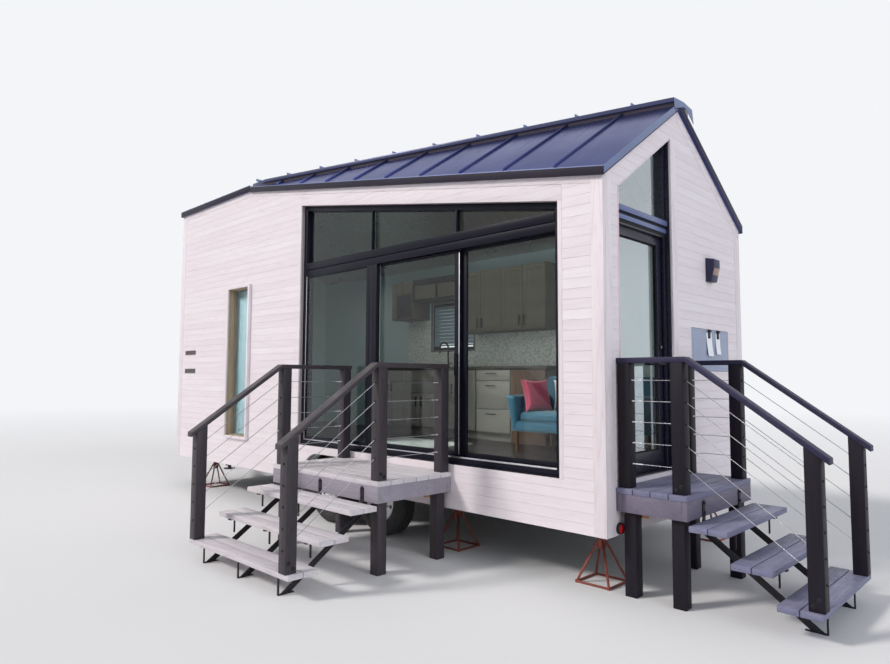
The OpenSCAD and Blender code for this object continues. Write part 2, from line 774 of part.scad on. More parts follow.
// Fittings on the walls
module gable_lamp() {
  color("#2a2b33")
    at_house(skin_t, lamp_t + lamp_w, 0) rotate([90, 0, 0]) linear_extrude(lamp_w) polygon([
      [0, lamp_z], [0, lamp_z + lamp_h], [lamp_d, lamp_z + lamp_h - 20],
      [lamp_d, lamp_z + lamp_h * 0.62], [lamp_d * 0.7, lamp_z]]);
}
module gable_panel() {
  color("#8f98a3") {
    block(skin_t - panel_sheet, skin_t, panel_near, panel_near + panel_w, panel_z, panel_z + panel_h);
    for (t = [panel_near + panel_w * 0.42, panel_near + panel_w * 0.66])
      block(skin_t - panel_sheet - 25, skin_t - panel_sheet, t, t + 40,
        panel_z + panel_h - 80, panel_z + panel_h);
  }
}
module vents() {
  vent_far = house_l - vent_end;
  color("#55524f") for (z = vent_z) block(vent_far - vent_w, vent_far, 2, skin_t, z, z + vent_h);
}
module tail_lights() {
  color("#b02020") for (t = [tail_t, house_w - tail_t])
    at_house(skin_t, t, siding_z + tail_d / 2 + 8) rotate([0, 90, 0])
      cylinder(h = skin_t + 22, r = tail_d / 2);
}

// Trailer
module trailer_frame() {
  color("#232326") {
    for (t = [beam_in, house_w - beam_in - beam_w])
      block(wall_t, house_l - wall_t, t, t + beam_w, siding_z, beam_top);
    for (s = [wall_t, axle_s[0] - arch_run - 120, axle_s[1] + arch_run + 60, house_l - wall_t - 60])
      block(s, s + 60, wall_t, house_w - wall_t, siding_z + 40, beam_top);
    for (s = [(axle_s[0] + axle_s[1]) / 2, 5600])
      block(s, s + 60, beam_in + 1, house_w - beam_in - 1, siding_z + 40, beam_top);
  }
}
module trailer_tongue() {
  mid = house_w / 2;
  tip = house_l + tongue_l;
  root_s = house_l - tongue_root;
  color("#232326") {
    for (side = [-1, 1]) {
      half = mid - beam_in - beam_w / 2;
      run = tip - 200 - root_s;
      bend = atan(half / run);
      at_house(root_s, mid + side * half, siding_z - tongue_h) rotate([0, 0, 180 + side * bend])
        translate([0, -30, 0]) cube([sqrt(run * run + half * half), 60, tongue_h]);
    }
    block(tip - 330, tip - 60, mid - 60, mid + 60, siding_z - tongue_h - 8, siding_z + 8);
    block(tip - 90, tip, mid - 40, mid + 40, siding_z - tongue_h + 20, siding_z - 10);
    at_house(tip - 250, mid, 0) cylinder(h = siding_z + 250, r = 28);
    at_house(tip - 250, mid, 0) cylinder(h = 14, r = 90);
  }
}
module axles() {
  color("#3a3633") for (s = axle_s) {
    at_house(s, tyre_in + tyre_w + 6, hub_z) rotate([-90, 0, 0])
      cylinder(h = house_w - 2 * (tyre_in + tyre_w + 6), r = axle_r + 12);
    at_house(s, tyre_in + 40, hub_z) rotate([-90, 0, 0])
      cylinder(h = house_w - 2 * (tyre_in + 40), r = axle_r);
    for (t = [beam_in + 10, house_w - beam_in - beam_w + 10])
      block(s - 300, s + 300, t, t + beam_w - 20, hub_z + axle_r, siding_z);
  }
}
module wheel(s, outer_t, dir) {
  at_house(s, outer_t, hub_z) rotate([-90 * dir, 0, 0]) difference() {
    union() {
      rotate_extrude($fn = 96) polygon([
        [rim_r, 14], [rim_r + 25, 4], [tyre_r - 60, 0], [tyre_r - 18, 14], [tyre_r, 34],
        [tyre_r, tyre_w - 34], [tyre_r - 18, tyre_w - 14], [tyre_r - 60, tyre_w], [rim_r + 25, tyre_w - 4],
        [rim_r, tyre_w - 14]]);
      rotate_extrude($fn = 96) polygon([
        [rim_r + 1, 16], [rim_r + 1, tyre_w - 16], [rim_r - 10, tyre_w - 16], [rim_r - 22, 70],
        [bore_r + 30, 62], [bore_r + 30, tyre_w - 60], [0, tyre_w - 60], [0, 16], [bore_r + 22, 16],
        [bore_r + 30, 44], [rim_r - 30, 48], [rim_r - 12, 16]]);
    }
    translate([0, 0, 36]) cylinder(h = tyre_w, r = bore_r);
  }
}
module wheel_front_near() { color("#1b1b1d") wheel(axle_s[0], tyre_in, 1); }
module wheel_front_far() { color("#1b1b1d") wheel(axle_s[1], tyre_in, 1); }
module wheel_back_near() { color("#1b1b1d") wheel(axle_s[0], house_w - tyre_in, -1); }
module wheel_back_far() { color("#1b1b1d") wheel(axle_s[1], house_w - tyre_in, -1); }
module rod(from, to, r) {
  d = to - from;
  len = norm(d);
  translate(from) rotate([0, acos(d[2] / len), atan2(d[1], d[0])]) cylinder(h = len, r = r, $fn = 20);
}
module jack_stand() {
  half = jack_w / 2;
  head = 34;
  head_z = siding_z - 110;
  for (a = [45 : 90 : 315]) {
    foot = [half * sqrt(2) * cos(a), half * sqrt(2) * sin(a), jack_rod];
    rod(foot, [head * cos(a), head * sin(a), head_z], jack_rod);
    next = [half * sqrt(2) * cos(a + 90), half * sqrt(2) * sin(a + 90), jack_rod];
    rod(foot, next, jack_rod);
    translate([foot[0], foot[1], 0]) cylinder(h = 2 * jack_rod + 3, r = jack_rod + 3, $fn = 20);
  }
  translate([0, 0, head_z - 45]) cylinder(h = 70, r = head);
  translate([0, 0, head_z - 60]) cylinder(h = 150, r = 16);
  translate([0, 0, siding_z - 20]) cylinder(h = 20, r = 40);
}
module jack_stands() {
  color("#8c2f25")
    for (s = [jack_near, jack_mid, house_l - jack_far],
         t = [beam_in + beam_w / 2, house_w - beam_in - beam_w / 2])
      at_house(s, t, 0) jack_stand();
}

// Kitchen and sofa
room_back = house_w - wall_t;
module kitchen_base() {
  color("#8b8a86") difference() {
    block(kitchen_s + 30, kitchen_end, room_back - base_d, room_back, floor_z, floor_z + top_h - top_t);
    // Toe space
    block(kitchen_s, kitchen_end + 1, room_back - base_d - 1, room_back - base_d + 60,
      floor_z - 1, floor_z + toe_h);
  }
}
module kitchen_top() {
  color("#3a3735") block(kitchen_s, kitchen_end, room_back - base_d - 25, room_back,
    floor_z + top_h - top_t, floor_z + top_h);
}
module kitchen_upper() {
  win_far = kitchen_near + kitchen_w;
  color("#6f6d68") {
    block(kitchen_s + 200, kitchen_near - 60, room_back - upper_d, room_back, upper_z, upper_z + upper_h);
    block(kitchen_near - 60, win_far + 60, room_back - upper_d, room_back,
      kitchen_z + kitchen_h + 20, upper_z + upper_h);
    block(win_far + 60, kitchen_end, room_back - upper_d, room_back, upper_z + 240, upper_z + upper_h);
  }
}
module faucet() {
  mid = kitchen_near + kitchen_w * 0.48;
  color("#26262a") at_house(mid, room_back - 110, floor_z + top_h) {
    cylinder(h = 12, r = 26);
    cylinder(h = 260, r = 12);
    translate([0, -80, 260]) rotate([90, 0, 90]) rotate_extrude(angle = 180) translate([80, 0]) circle(12);
    translate([0, -160, 190]) cylinder(h = 70, r = 12);
    translate([0, 0, 60]) rotate([0, 90, 0]) cylinder(h = 75, r = 7);
  }
}
sofa_s = wall_t + 330;
sofa_t = room_back - base_d - 20 - sofa_d;
module sofa() {
  color("#2f7f8f") {
    difference() {
      block(sofa_s, sofa_s + sofa_l, sofa_t, sofa_t + sofa_d, floor_z + sofa_leg, floor_z + back_h);
      block(sofa_s + arm_t, sofa_s + sofa_l - arm_t, sofa_t - 1, sofa_t + sofa_d - arm_t,
        floor_z + seat_h, floor_z + back_h + 1);
      block(sofa_s - 1, sofa_s + sofa_l + 1, sofa_t - 1, sofa_t + sofa_d - arm_t,
        floor_z + arm_h, floor_z + back_h + 1);
    }
  }
  color("#4b3526") for (s = [sofa_s + 70, sofa_s + sofa_l - 70], t = [sofa_t + 70, sofa_t + sofa_d - 70])
    at_house(s, t, floor_z) cylinder(h = sofa_leg, r = 20);
}
// One pillow leans on the far arm and one on the back
module sofa_pillows() {
  arm_s = sofa_s + sofa_l - arm_t - 10;
  back_t = sofa_t + sofa_d - arm_t - 15;
  z = floor_z + seat_h + seat_gap;
  color("#a03048") {
    block(arm_s - pillow_t, arm_s, sofa_t + 25, sofa_t + 25 + pillow, z, z + pillow);
    block(arm_s - 60 - pillow, arm_s - 60, back_t - pillow_t, back_t, z, z + pillow);
  }
}

// Stoops, drawn with the wall along X at y = 0 and the treads towards +Y
module stoop_deck(w, d, top) {
  count = round(d / board_w);
  pitch = (d + board_gap) / count;
  for (i = [0 : count - 1]) translate([0, i * pitch, top - board_t]) cube([w, pitch - board_gap, board_t]);
}
module stoop_frame(w, d, top) {
  z0 = top - board_t - rim_h;
  translate([0, 0, z0]) difference() {
    cube([w, d, rim_h]);
    translate([rim_t, rim_t, -1]) cube([w - 2 * rim_t, d - 2 * rim_t, rim_h + 2]);
  }
  for (x = [rim_t, w - rim_t - post], y = [rim_t, d - rim_t - post])
    translate([x, y, 0]) cube([post, post, top - board_t]);
}
function stair_slope(rise) = rise / going;
function rail_kink(d) = d - 10;
module stoop_posts(w, d, top, rise) {
  end = d + treads * going;
  under = top + rail_h - rail_t - 0.05;
  slope = stair_slope(rise);
  for (x = [post_in, w - post_in - post]) {
    for (y = [post_in / 2, d - post_in - post]) translate([x, y, top]) cube([post, post, under - top]);
    translate([x, 0, 0]) rotate([90, 0, 90]) linear_extrude(post) polygon([
      [end - post, top - treads * rise], [end, top - treads * rise],
      [end, under - slope * (end - rail_kink(d))],
      [end - post, under - slope * (end - post - rail_kink(d))]]);
  }
}
module stoop_rails(w, d, top, rise) {
  end = d + treads * going + rail_past;
  z = top + rail_h;
  drop = stair_slope(rise) * (end - rail_kink(d));
  for (x = [post_in, w - post_in - post])
    translate([x, 0, 0]) rotate([90, 0, 90]) linear_extrude(post) polygon([
      [0, z - rail_t], [0, z], [rail_kink(d), z], [end, z - drop],
      [end, z - drop - rail_t], [rail_kink(d), z - rail_t]]);
}
module stoop_cables(w, d, top, rise) {
  slope = stair_slope(rise);
  // How far a slanting cable's square end leans out
  lean = cable_d / 2 * sin(atan(slope));
  y0 = post_in / 2 + post;
  y1 = d - post_in - post;
  y2 = d - post_in + lean;
  y3 = d + treads * going - post - lean;
  for (x = [post_in + post / 2, w - post_in - post / 2], i = [0 : cables - 1]) {
    z = top + cable_low + i * cable_pitch;
    translate([x, y0, z]) rotate([-90, 0, 0]) cylinder(h = y1 - y0, r = cable_d / 2, $fn = 16);
    rod([x, y2, z], [x, y3, z - slope * (y3 - y2)], cable_d / 2);
  }
}
module stoop_treads(w, d, top, rise) {
  half = (going - 2 * board_gap - steel_t) / 2;
  for (i = [1 : treads], j = [0, 1])
    translate([0, d + (i - 1) * going + steel_t + j * (half + board_gap), top - i * rise - board_t])
      cube([w, half, board_t]);
}
module stringer(d, top, rise) {
  slope = stair_slope(rise);
  seat = top - board_t;
  // Strap on the rim board
  translate([-steel_w / 2, d, seat - rise - steel_t]) cube([steel_w, steel_t, rise - 15]);
  for (i = [1 : treads]) {
    y = d + (i - 1) * going;
    z = seat - i * rise;
    drop = i < treads ? rise * (going - string_in) / going - slant_h / 2 : z;
    translate([-steel_w / 2, y, z - steel_t]) cube([steel_w, going - 20, steel_t]);
    translate([-steel_w / 4, y + going - string_in, z - drop]) cube([steel_w / 2, steel_t, drop - 1]);
    if (i < treads) translate([-steel_w / 2, y + going - 21, z - steel_t]) cube([steel_w, 21, steel_t]);
  }
  z1 = seat - rise - steel_t + 6;
  y_end = d + z1 / slope;
  y_foot = d + treads * going - string_in;
  rotate([90, 0, 90]) translate([0, 0, -steel_t / 2]) linear_extrude(steel_t) polygon([
    [d, z1], [y_end, 0], [y_end - slant_h / slope, 0], [d, z1 - slant_h]]);
  translate([-steel_w / 4, y_foot - 120, 0]) cube([steel_w / 2, 120 + steel_t, steel_t]);
}
module stoop_stringers(places, d, top, rise) {
  for (x = places) translate([x, 0, 0]) stringer(d, top, rise);
}
module side_place() {
  at_house(side_s, 0, 0) rotate([0, 0, 180]) children();
}
module end_place() {
  at_house(0, end_t + end_w, 0) rotate([0, 0, -90]) children();
}
module side_stoop_deck() { color("#8d8a90") side_place() stoop_deck(side_w, side_d, side_z); }
module side_stoop_frame() {
  color("#77747c") side_place() {
    stoop_frame(side_w, side_d, side_z);
    // Spacers through the siding, against the framed wall
    for (x = [2 * post, side_w - 3 * post]) translate([x, -skin_t, side_z - board_t - rim_h + rim_t])
      cube([post, skin_t + 1, post - rim_t]);
  }
}
module side_stoop_posts() {
  color("#35323a") side_place() stoop_posts(side_w, side_d, side_z, stoop_rise[0]);
}
module side_stoop_rails() {
  color("#35323a") side_place() stoop_rails(side_w, side_d, side_z, stoop_rise[0]);
}
module side_stoop_cables() {
  color("#b9bcc2") side_place() stoop_cables(side_w, side_d, side_z, stoop_rise[0]);
}
module side_stoop_treads() {
  color("#8d8a90") side_place() stoop_treads(side_w, side_d, side_z, stoop_rise[0]);
}
module side_stoop_stringers() {
  color("#1c1c20") side_place() stoop_stringers([side_string_in, side_w / 2, side_w - side_string_in],
    side_d, side_z, stoop_rise[0]);
}
module end_stoop_deck() { color("#6d6f80") end_place() stoop_deck(end_w, end_d, end_z); }
module end_stoop_frame() { color("#5c5d6c") end_place() stoop_frame(end_w, end_d, end_z); }
module end_stoop_posts() {
  color("#2c2a33") end_place() stoop_posts(end_w, end_d, end_z, stoop_rise[1]);
}
module end_stoop_rails() {
  color("#2c2a33") end_place() stoop_rails(end_w, end_d, end_z, stoop_rise[1]);
}
module end_stoop_cables() {
  color("#b9bcc2") end_place() stoop_cables(end_w, end_d, end_z, stoop_rise[1]);
}
module end_stoop_treads() {
  color("#6d6f80") end_place() stoop_treads(end_w, end_d, end_z, stoop_rise[1]);
}
module end_stoop_stringers() {
  color("#1c1c20") end_place() stoop_stringers([end_string_in, end_w - end_string_in],
    end_d, end_z, stoop_rise[1]);
}

trailer_frame();
trailer_tongue();
axles();
jack_stands();
wheel_front_near();
wheel_front_far();
wheel_back_near();
wheel_back_far();
floor_deck();
front_wall_near();
front_wall_far();
front_wall_below();
front_wall_head();
entry_wall_corner();
entry_wall_field();
entry_wall_below();
entry_wall_head();
back_wall();
far_wall();
roof_front();
roof_top();
roof_back();
roof_seams();
ridge_cap();
pale_trim();
big_window_frame();
sliding_panel();
sliding_glass();
window_glass();
door_frame();
entry_door();
entry_door_glass();
door_lever();
small_window_frames();
gable_lamp();
gable_panel();
vents();
tail_lights();
kitchen_base();
kitchen_top();
kitchen_upper();
faucet();
sofa();
sofa_pillows();
side_stoop_deck();
side_stoop_frame();
side_stoop_posts();
side_stoop_rails();
side_stoop_cables();
side_stoop_treads();
side_stoop_stringers();
end_stoop_deck();
end_stoop_frame();
end_stoop_posts();
end_stoop_rails();
end_stoop_cables();
end_stoop_treads();
end_stoop_stringers();
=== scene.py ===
"""A small house on wheels with two stoops, dressed round the CAD frame, and its studio."""
import json
import math

import bpy
from mathutils import Matrix, Vector

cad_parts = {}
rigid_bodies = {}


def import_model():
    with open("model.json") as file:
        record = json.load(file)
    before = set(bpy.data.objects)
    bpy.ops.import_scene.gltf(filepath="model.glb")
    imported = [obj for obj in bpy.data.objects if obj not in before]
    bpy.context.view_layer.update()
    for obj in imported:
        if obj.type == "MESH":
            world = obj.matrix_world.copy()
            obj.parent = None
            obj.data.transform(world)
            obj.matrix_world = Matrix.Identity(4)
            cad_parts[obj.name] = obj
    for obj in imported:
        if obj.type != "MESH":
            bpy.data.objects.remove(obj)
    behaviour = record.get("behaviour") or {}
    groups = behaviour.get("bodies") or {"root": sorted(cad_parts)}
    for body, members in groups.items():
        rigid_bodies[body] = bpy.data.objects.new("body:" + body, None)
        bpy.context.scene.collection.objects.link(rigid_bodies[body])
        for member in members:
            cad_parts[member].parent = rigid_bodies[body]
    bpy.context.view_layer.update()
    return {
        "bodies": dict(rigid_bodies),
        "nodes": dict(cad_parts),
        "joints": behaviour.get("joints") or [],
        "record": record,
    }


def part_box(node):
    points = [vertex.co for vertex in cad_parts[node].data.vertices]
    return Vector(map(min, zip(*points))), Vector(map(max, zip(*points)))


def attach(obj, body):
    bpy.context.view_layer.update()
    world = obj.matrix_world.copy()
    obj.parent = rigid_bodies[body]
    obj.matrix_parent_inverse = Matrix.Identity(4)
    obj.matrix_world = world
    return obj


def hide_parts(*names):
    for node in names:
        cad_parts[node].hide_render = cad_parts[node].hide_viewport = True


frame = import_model()
NODES = frame["nodes"]

# Metres: s runs from the entry gable to the far end, t from the front wall's face to the back, z up
LENGTH, WIDTH = 6.95, 2.59
TRIM, CORNER = 0.02, 0.1
GABLE_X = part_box("pale_trim")[1][0]
FRONT_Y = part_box("pale_trim")[1][1] - WIDTH
SIDING_Z, FLOOR_Z = 0.41, 0.78
EAVE_Z, RIDGE_Z, RIDGE_T = 2.995, 3.835, 1.24
EAVE_RISE = math.tan(math.radians(9.843))
FRONT_SLOPE = (RIDGE_Z - EAVE_Z) / RIDGE_T
BACK_SLOPE = (RIDGE_Z - EAVE_Z) / (WIDTH - RIDGE_T)
TOP_SLOPE = math.tan(math.radians(1.146))
RIDGE_END = (RIDGE_Z + TOP_SLOPE * RIDGE_T - EAVE_Z) / EAVE_RISE
HEAD_DROP, FRIEZE, RAKE = 0.2, 0.072, 0.112
OPEN_NEAR, OPEN_FAR = 0.39, 3.86
SILL_TOP, BAR_Z, BAR_TOP = 0.835, 2.65, 2.80
CASING_NEAR = OPEN_NEAR - 0.038
BOARD_PITCH = 0.077
VENTS_Z, VENT_H = (1.57, 1.825), 0.065
HATCH_T, HATCH_Z = (1.441, 2.249), (1.591, 1.964)
AXLES_S, WHEEL_T, HUB_Z = (2.5, 3.34), 0.045, 0.338
ABOVE = 4.2


def at(s, t, z):
    """A point of the house in the part's frame."""
    return Vector((GABLE_X - s, FRONT_Y + t, z))


# Undersides of the three roof planes, and the plane of the glass front's head: a point and the upward normal
PLANES = {
    "front": (at(0, 0, EAVE_Z), Vector((EAVE_RISE, -FRONT_SLOPE, 1))),
    "top": (at(0, RIDGE_T, RIDGE_Z), Vector((0, TOP_SLOPE, 1))),
    "back": (at(0, WIDTH, EAVE_Z), Vector((0, BACK_SLOPE, 1))),
    "head": (at(0, 0, EAVE_Z), Vector((EAVE_RISE, 0, 1))),
}


# ---- modelling by hand ----
def pick(*pieces):
    """Selects these pieces and nothing else."""
    for other in bpy.context.selected_objects:
        other.select_set(False)
    for piece in pieces:
        piece.select_set(True)
    if pieces:
        bpy.context.view_layer.objects.active = pieces[0]


def edit(piece):
    pick(piece)
    bpy.ops.object.mode_set(mode="EDIT")
    bpy.ops.mesh.select_all(action="SELECT")


def done():
    bpy.ops.object.mode_set(mode="OBJECT")


def settle(piece):
    """Puts the piece's place, turn and size into its mesh."""
    pick(piece)
    bpy.ops.object.transform_apply(location=True, rotation=True, scale=True)
    return piece


def ease(piece, width=0.0015, rounds=2, angle=25):
    """Rounds the sharp edges."""
    edit(piece)
    bpy.ops.mesh.select_mode(type="EDGE")
    bpy.ops.mesh.select_all(action="DESELECT")
    bpy.ops.mesh.edges_select_sharp(sharpness=math.radians(angle))
    bpy.ops.mesh.bevel(offset=width, segments=rounds, affect="EDGES", clamp_overlap=True)
    bpy.ops.mesh.select_mode(type="VERT")
    done()
    return piece


def cut(piece, point, normal, keep="below"):
    """Cuts the piece through by a plane and closes it."""
    edit(piece)
    bpy.ops.mesh.bisect(plane_co=point, plane_no=normal, use_fill=True,
                        clear_outer=keep == "below", clear_inner=keep == "above")
    done()
    return piece


def on(plane, up=0.0):
    """A roof plane, moved up, that cuts a board."""
    return ((plane, up),)


def cut_roof(piece, plane, up=0.0, keep="below"):
    """Cuts the piece along a roof plane that is moved up or down."""
    point, normal = PLANES[plane]
    return cut(piece, point + Vector((0, 0, up)), normal, keep)


def lump(low, high, soft=0.0015, rounds=2):
    """A squared piece between two corners, its edges eased."""
    low, high = Vector([*map(min, low, high)]), Vector([*map(max, low, high)])
    pick()
    bpy.ops.mesh.primitive_cube_add(size=1, location=(low + high) / 2, scale=high - low)
    piece = settle(bpy.context.active_object)
    if soft:
        ease(piece, soft, rounds)
    return piece


def board(s, t, z, under=(), over=(), soft=0.0015, rounds=2):
    """A board on the house; under and over are roof planes, with a shift, that cut its top and foot."""
    piece = lump(at(s[0], t[0], z[0]), at(s[1], t[1], z[1]), soft=0)
    for plane, up in under:
        cut_roof(piece, plane, up, "below")
    for plane, up in over:
        cut_roof(piece, plane, up, "above")
    if soft:
        ease(piece, soft, rounds)
    return piece


def rod(a, b, radius, sides=12, soft=0.0):
    """A round bar between two points."""
    a, b = Vector(a), Vector(b)
    pick()
    bpy.ops.mesh.primitive_cylinder_add(vertices=sides, radius=radius, depth=(b - a).length,
                                        location=(a + b) / 2)
    piece = bpy.context.active_object
    piece.rotation_mode = "QUATERNION"
    piece.rotation_quaternion = (b - a).to_track_quat("Z", "Y")
    settle(piece)
    if soft:
        ease(piece, soft, 2, 50)
    return piece


def turned(profile, sides=48, place=Matrix.Identity(4)):
    """A turned piece from rings of (radius, height), moved to its place; the last ring may meet the first."""
    pick()
    bpy.ops.mesh.primitive_circle_add(vertices=sides, radius=profile[0][0], location=(0, 0, profile[0][1]))
    piece = settle(bpy.context.active_object)
    edit(piece)
    bpy.ops.mesh.select_mode(type="EDGE")
    for (ra, za), (rb, zb) in zip(profile, profile[1:]):
        bpy.ops.mesh.extrude_edges_move(TRANSFORM_OT_translate={"value": (0, 0, zb - za)})
        bpy.ops.transform.resize(value=(rb / ra, rb / ra, 1), center_override=(0, 0, zb))
    bpy.ops.mesh.select_all(action="SELECT")
    bpy.ops.mesh.remove_doubles(threshold=1e-5)
    bpy.ops.mesh.select_all(action="DESELECT")
    bpy.ops.mesh.select_mode(type="EDGE")
    if profile[0] != profile[-1]:
        bpy.ops.mesh.select_non_manifold(extend=False, use_wire=False, use_boundary=True, use_multi_face=False,
                                         use_non_contiguous=False, use_verts=False)
        bpy.ops.mesh.edge_face_add()
    bpy.ops.mesh.select_all(action="SELECT")
    bpy.ops.mesh.normals_make_consistent(inside=False)
    done()
    piece.matrix_world = place
    return settle(piece)


def facing(point, axis):
    """The place of a turned piece at a point, with its Z axis along another."""
    return Matrix.Translation(point) @ Vector(axis).to_track_quat("Z", "Y").to_matrix().to_4x4()


def copies(piece, moves):
    """Copies of a piece, each with its own mesh; the first one goes."""
    made = []
    for move in moves:
        other = piece.copy()
        other.data = piece.data.copy()
        other.data.transform(Matrix.Translation(move) if isinstance(move, Vector) else move)
        bpy.context.collection.objects.link(other)
        made.append(other)
    bpy.data.objects.remove(piece)
    return made


def join(pieces):
    pick(*pieces)
    if len(pieces) > 1:
        bpy.ops.object.join()
    return bpy.context.active_object


def repeat(piece, count, step):
    """Repeats a piece along a step and keeps it one mesh."""
    row = piece.modifiers.new("row", "ARRAY")
    row.use_relative_offset = False
    row.use_constant_offset = True
    row.constant_offset_displace = step
    row.count = count
    pick(piece)
    bpy.ops.object.modifier_apply(modifier=row.name)
    return piece


def take_away(piece, tool):
    """Cuts the tool's shape out of the piece."""
    hole = piece.modifiers.new("hole", "BOOLEAN")
    hole.operation = "DIFFERENCE"
    hole.solver = "EXACT"
    hole.object = tool
    pick(piece)
    bpy.ops.object.modifier_apply(modifier=hole.name)
    bpy.data.objects.remove(tool)
    return piece


def face_steps(piece, test, steps):
    """Insets the faces that the test picks by their normal; each step is a width and a depth."""
    edit(piece)
    bpy.ops.mesh.select_all(action="DESELECT")
    done()
    for face in piece.data.polygons:
        face.select = test(face.normal)
    bpy.ops.object.mode_set(mode="EDIT")
    bpy.ops.mesh.select_mode(type="FACE")
    for width, depth in steps:
        bpy.ops.mesh.inset(thickness=width, depth=depth)
    bpy.ops.mesh.select_mode(type="VERT")
    done()
    return ease(piece, 0.0015)


def second_finish(piece, finish, test):
    """Gives a second finish to the faces that the test picks."""
    piece.data.materials.append(finish)
    for face in piece.data.polygons:
        if test(face):
            face.material_index = 1


def paint(piece, finish):
    piece.data.materials.clear()
    piece.data.materials.append(finish)
    return piece


def fit(piece, name, finish=None, body="house", slot=None, replaces=(), angle=35):
    """Names, paints and fastens a finished piece to its body."""
    piece.name = piece.data.name = name
    if finish:
        paint(piece, finish)
    pick(piece)
    bpy.ops.object.shade_smooth_by_angle(angle=math.radians(angle))
    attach(piece, body)
    if replaces:
        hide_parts(*replaces)
    return piece


def softened(node, finish, body="house", slot=None, width=0.0015, rounds=2, angle=25):
    """A copy of a CAD node, merged and with its edges eased, that stands for it."""
    piece = bpy.data.objects.new(node + "_eased", NODES[node].data.copy())
    bpy.context.collection.objects.link(piece)
    edit(piece)
    bpy.ops.mesh.remove_doubles(threshold=2e-5)
    bpy.ops.mesh.dissolve_limited(angle_limit=math.radians(0.5))
    done()
    if width:
        ease(piece, width, rounds, angle)
    return fit(piece, node + "_eased", finish, body, slot, (node,))


# ---- finishes ----
def link_or_set(tree, socket, value):
    if isinstance(value, bpy.types.NodeSocket):
        tree.links.new(value, socket)
    elif socket.type == "RGBA":
        socket.default_value = (*value[:3], 1)
    else:
        socket.default_value = value


def node(tree, kind, inputs=(), **settings):
    """Adds a shader node; inputs gives each socket a value or another node's output."""
    made = tree.nodes.new("ShaderNode" + kind)
    for key, value in settings.items():
        setattr(made, key, value)
    for key, value in dict(inputs).items():
        link_or_set(tree, made.inputs[key], value)
    return made


def maths(tree, operation, *values):
    return node(tree, "Math", dict(enumerate(values)), operation=operation).outputs[0]


def times(tree, a, b):
    return maths(tree, "MULTIPLY", a, b)


def ramp(tree, value, low, high, to_low=0.0, to_high=1.0):
    """Maps a value from one range onto another, held at both ends."""
    return node(tree, "MapRange", {"Value": value, "From Min": low, "From Max": high,
                                   "To Min": to_low, "To Max": to_high}).outputs[0]


def mix(tree, factor, a, b):
    made = node(tree, "Mix", data_type="RGBA")
    link_or_set(tree, made.inputs[0], factor)
    link_or_set(tree, made.inputs[6], a)
    link_or_set(tree, made.inputs[7], b)
    return made.outputs[2]


def noise(tree, vector, scale, detail=2.0, rough=0.5, twist=0.0):
    return node(tree, "TexNoise", {"Vector": vector, "Scale": scale, "Detail": detail, "Roughness": rough,
                                   "Distortion": twist}).outputs[0]


def bump(tree, height, distance):
    return node(tree, "Bump", {"Height": height, "Distance": distance}).outputs[0]


def here(tree, scale=(1, 1, 1)):
    """The surface's own place, stretched for a pattern."""
    spot = node(tree, "TexCoord").outputs["Object"]
    return node(tree, "Mapping", {"Vector": spot, "Scale": scale}).outputs[0]


def place_of(tree):
    """The surface's own x, y and z."""
    return node(tree, "SeparateXYZ", {0: node(tree, "TexCoord").outputs["Object"]}).outputs


def upward(tree):
    """How far a face looks up, from -1 to 1."""
    return node(tree, "SeparateXYZ", {0: node(tree, "NewGeometry").outputs["Normal"]}).outputs[2]


def stripes(tree, along, half):
    """The distance to the nearest of a row of lines, twice the half apart."""
    return maths(tree, "PINGPONG", maths(tree, "ADD", along, 20.0), half)


def surface(tree, sockets, colour, rough=None, height=None, depth=0.0):
    """Links a finish's colour, roughness and relief."""
    link_or_set(tree, sockets["Base Color"], colour)
    if rough:
        link_or_set(tree, sockets["Roughness"], rough)
    if height:
        link_or_set(tree, sockets["Normal"], bump(tree, height, depth))


def group(name, inputs, outputs, build):
    """A shared effect: inputs and outputs are (name, kind, value) or (name, kind)."""
    tree = bpy.data.node_groups.new(name, "ShaderNodeTree")
    for label, kind, value in inputs:
        socket = tree.interface.new_socket(name=label, in_out="INPUT", socket_type="NodeSocket" + kind)
        socket.default_value = value
    for label, kind in outputs:
        tree.interface.new_socket(name=label, in_out="OUTPUT", socket_type="NodeSocket" + kind)
    taken = tree.nodes.new("NodeGroupInput").outputs
    given = tree.nodes.new("NodeGroupOutput").inputs
    for label, value in build(tree, taken).items():
        tree.links.new(value, given[label])
    return tree


def use(tree, shared, **inputs):
    """Places a shared effect in a finish."""
    made = tree.nodes.new("ShaderNodeGroup")
    made.node_tree = shared
    for label, value in inputs.items():
        link_or_set(tree, made.inputs[label.replace("_", " ")], value)
    return made.outputs


def build_grain(tree, taken):
    chance = node(tree, "TexWhiteNoise", {"W": taken["Board"]}, noise_dimensions="1D")
    moved = node(tree, "VectorMath", {0: chance.outputs["Color"], 1: (9, 9, 9)},
                 operation="MULTIPLY").outputs[0]
    vector = node(tree, "VectorMath", {0: taken["Vector"], 1: moved}, operation="ADD").outputs[0]
    field = noise(tree, vector, 0.8, 1.5, 0.4, 0.5)
    rings = maths(tree, "PINGPONG", times(tree, field, 11.0), 1.0)
    fine = noise(tree, vector, 7.0, 4.0, 0.6)
    blotch = noise(tree, vector, 0.45, 2.0)
    spots = node(tree, "TexVoronoi", {"Vector": vector, "Scale": 0.34, "Randomness": 1.0}).outputs["Distance"]
    knot = ramp(tree, spots, 0.03, 0.075, 1.0, 0.0)
    return {"Rings": rings, "Fine": fine, "Blotch": blotch, "Tone": chance.outputs["Value"], "Knots": knot}


GRAIN = group("board grain", [("Vector", "Vector", (0, 0, 0)), ("Board", "Float", 0.0)],
              [(label, "Float") for label in ("Rings", "Fine", "Blotch", "Tone", "Knots")],
              build_grain)


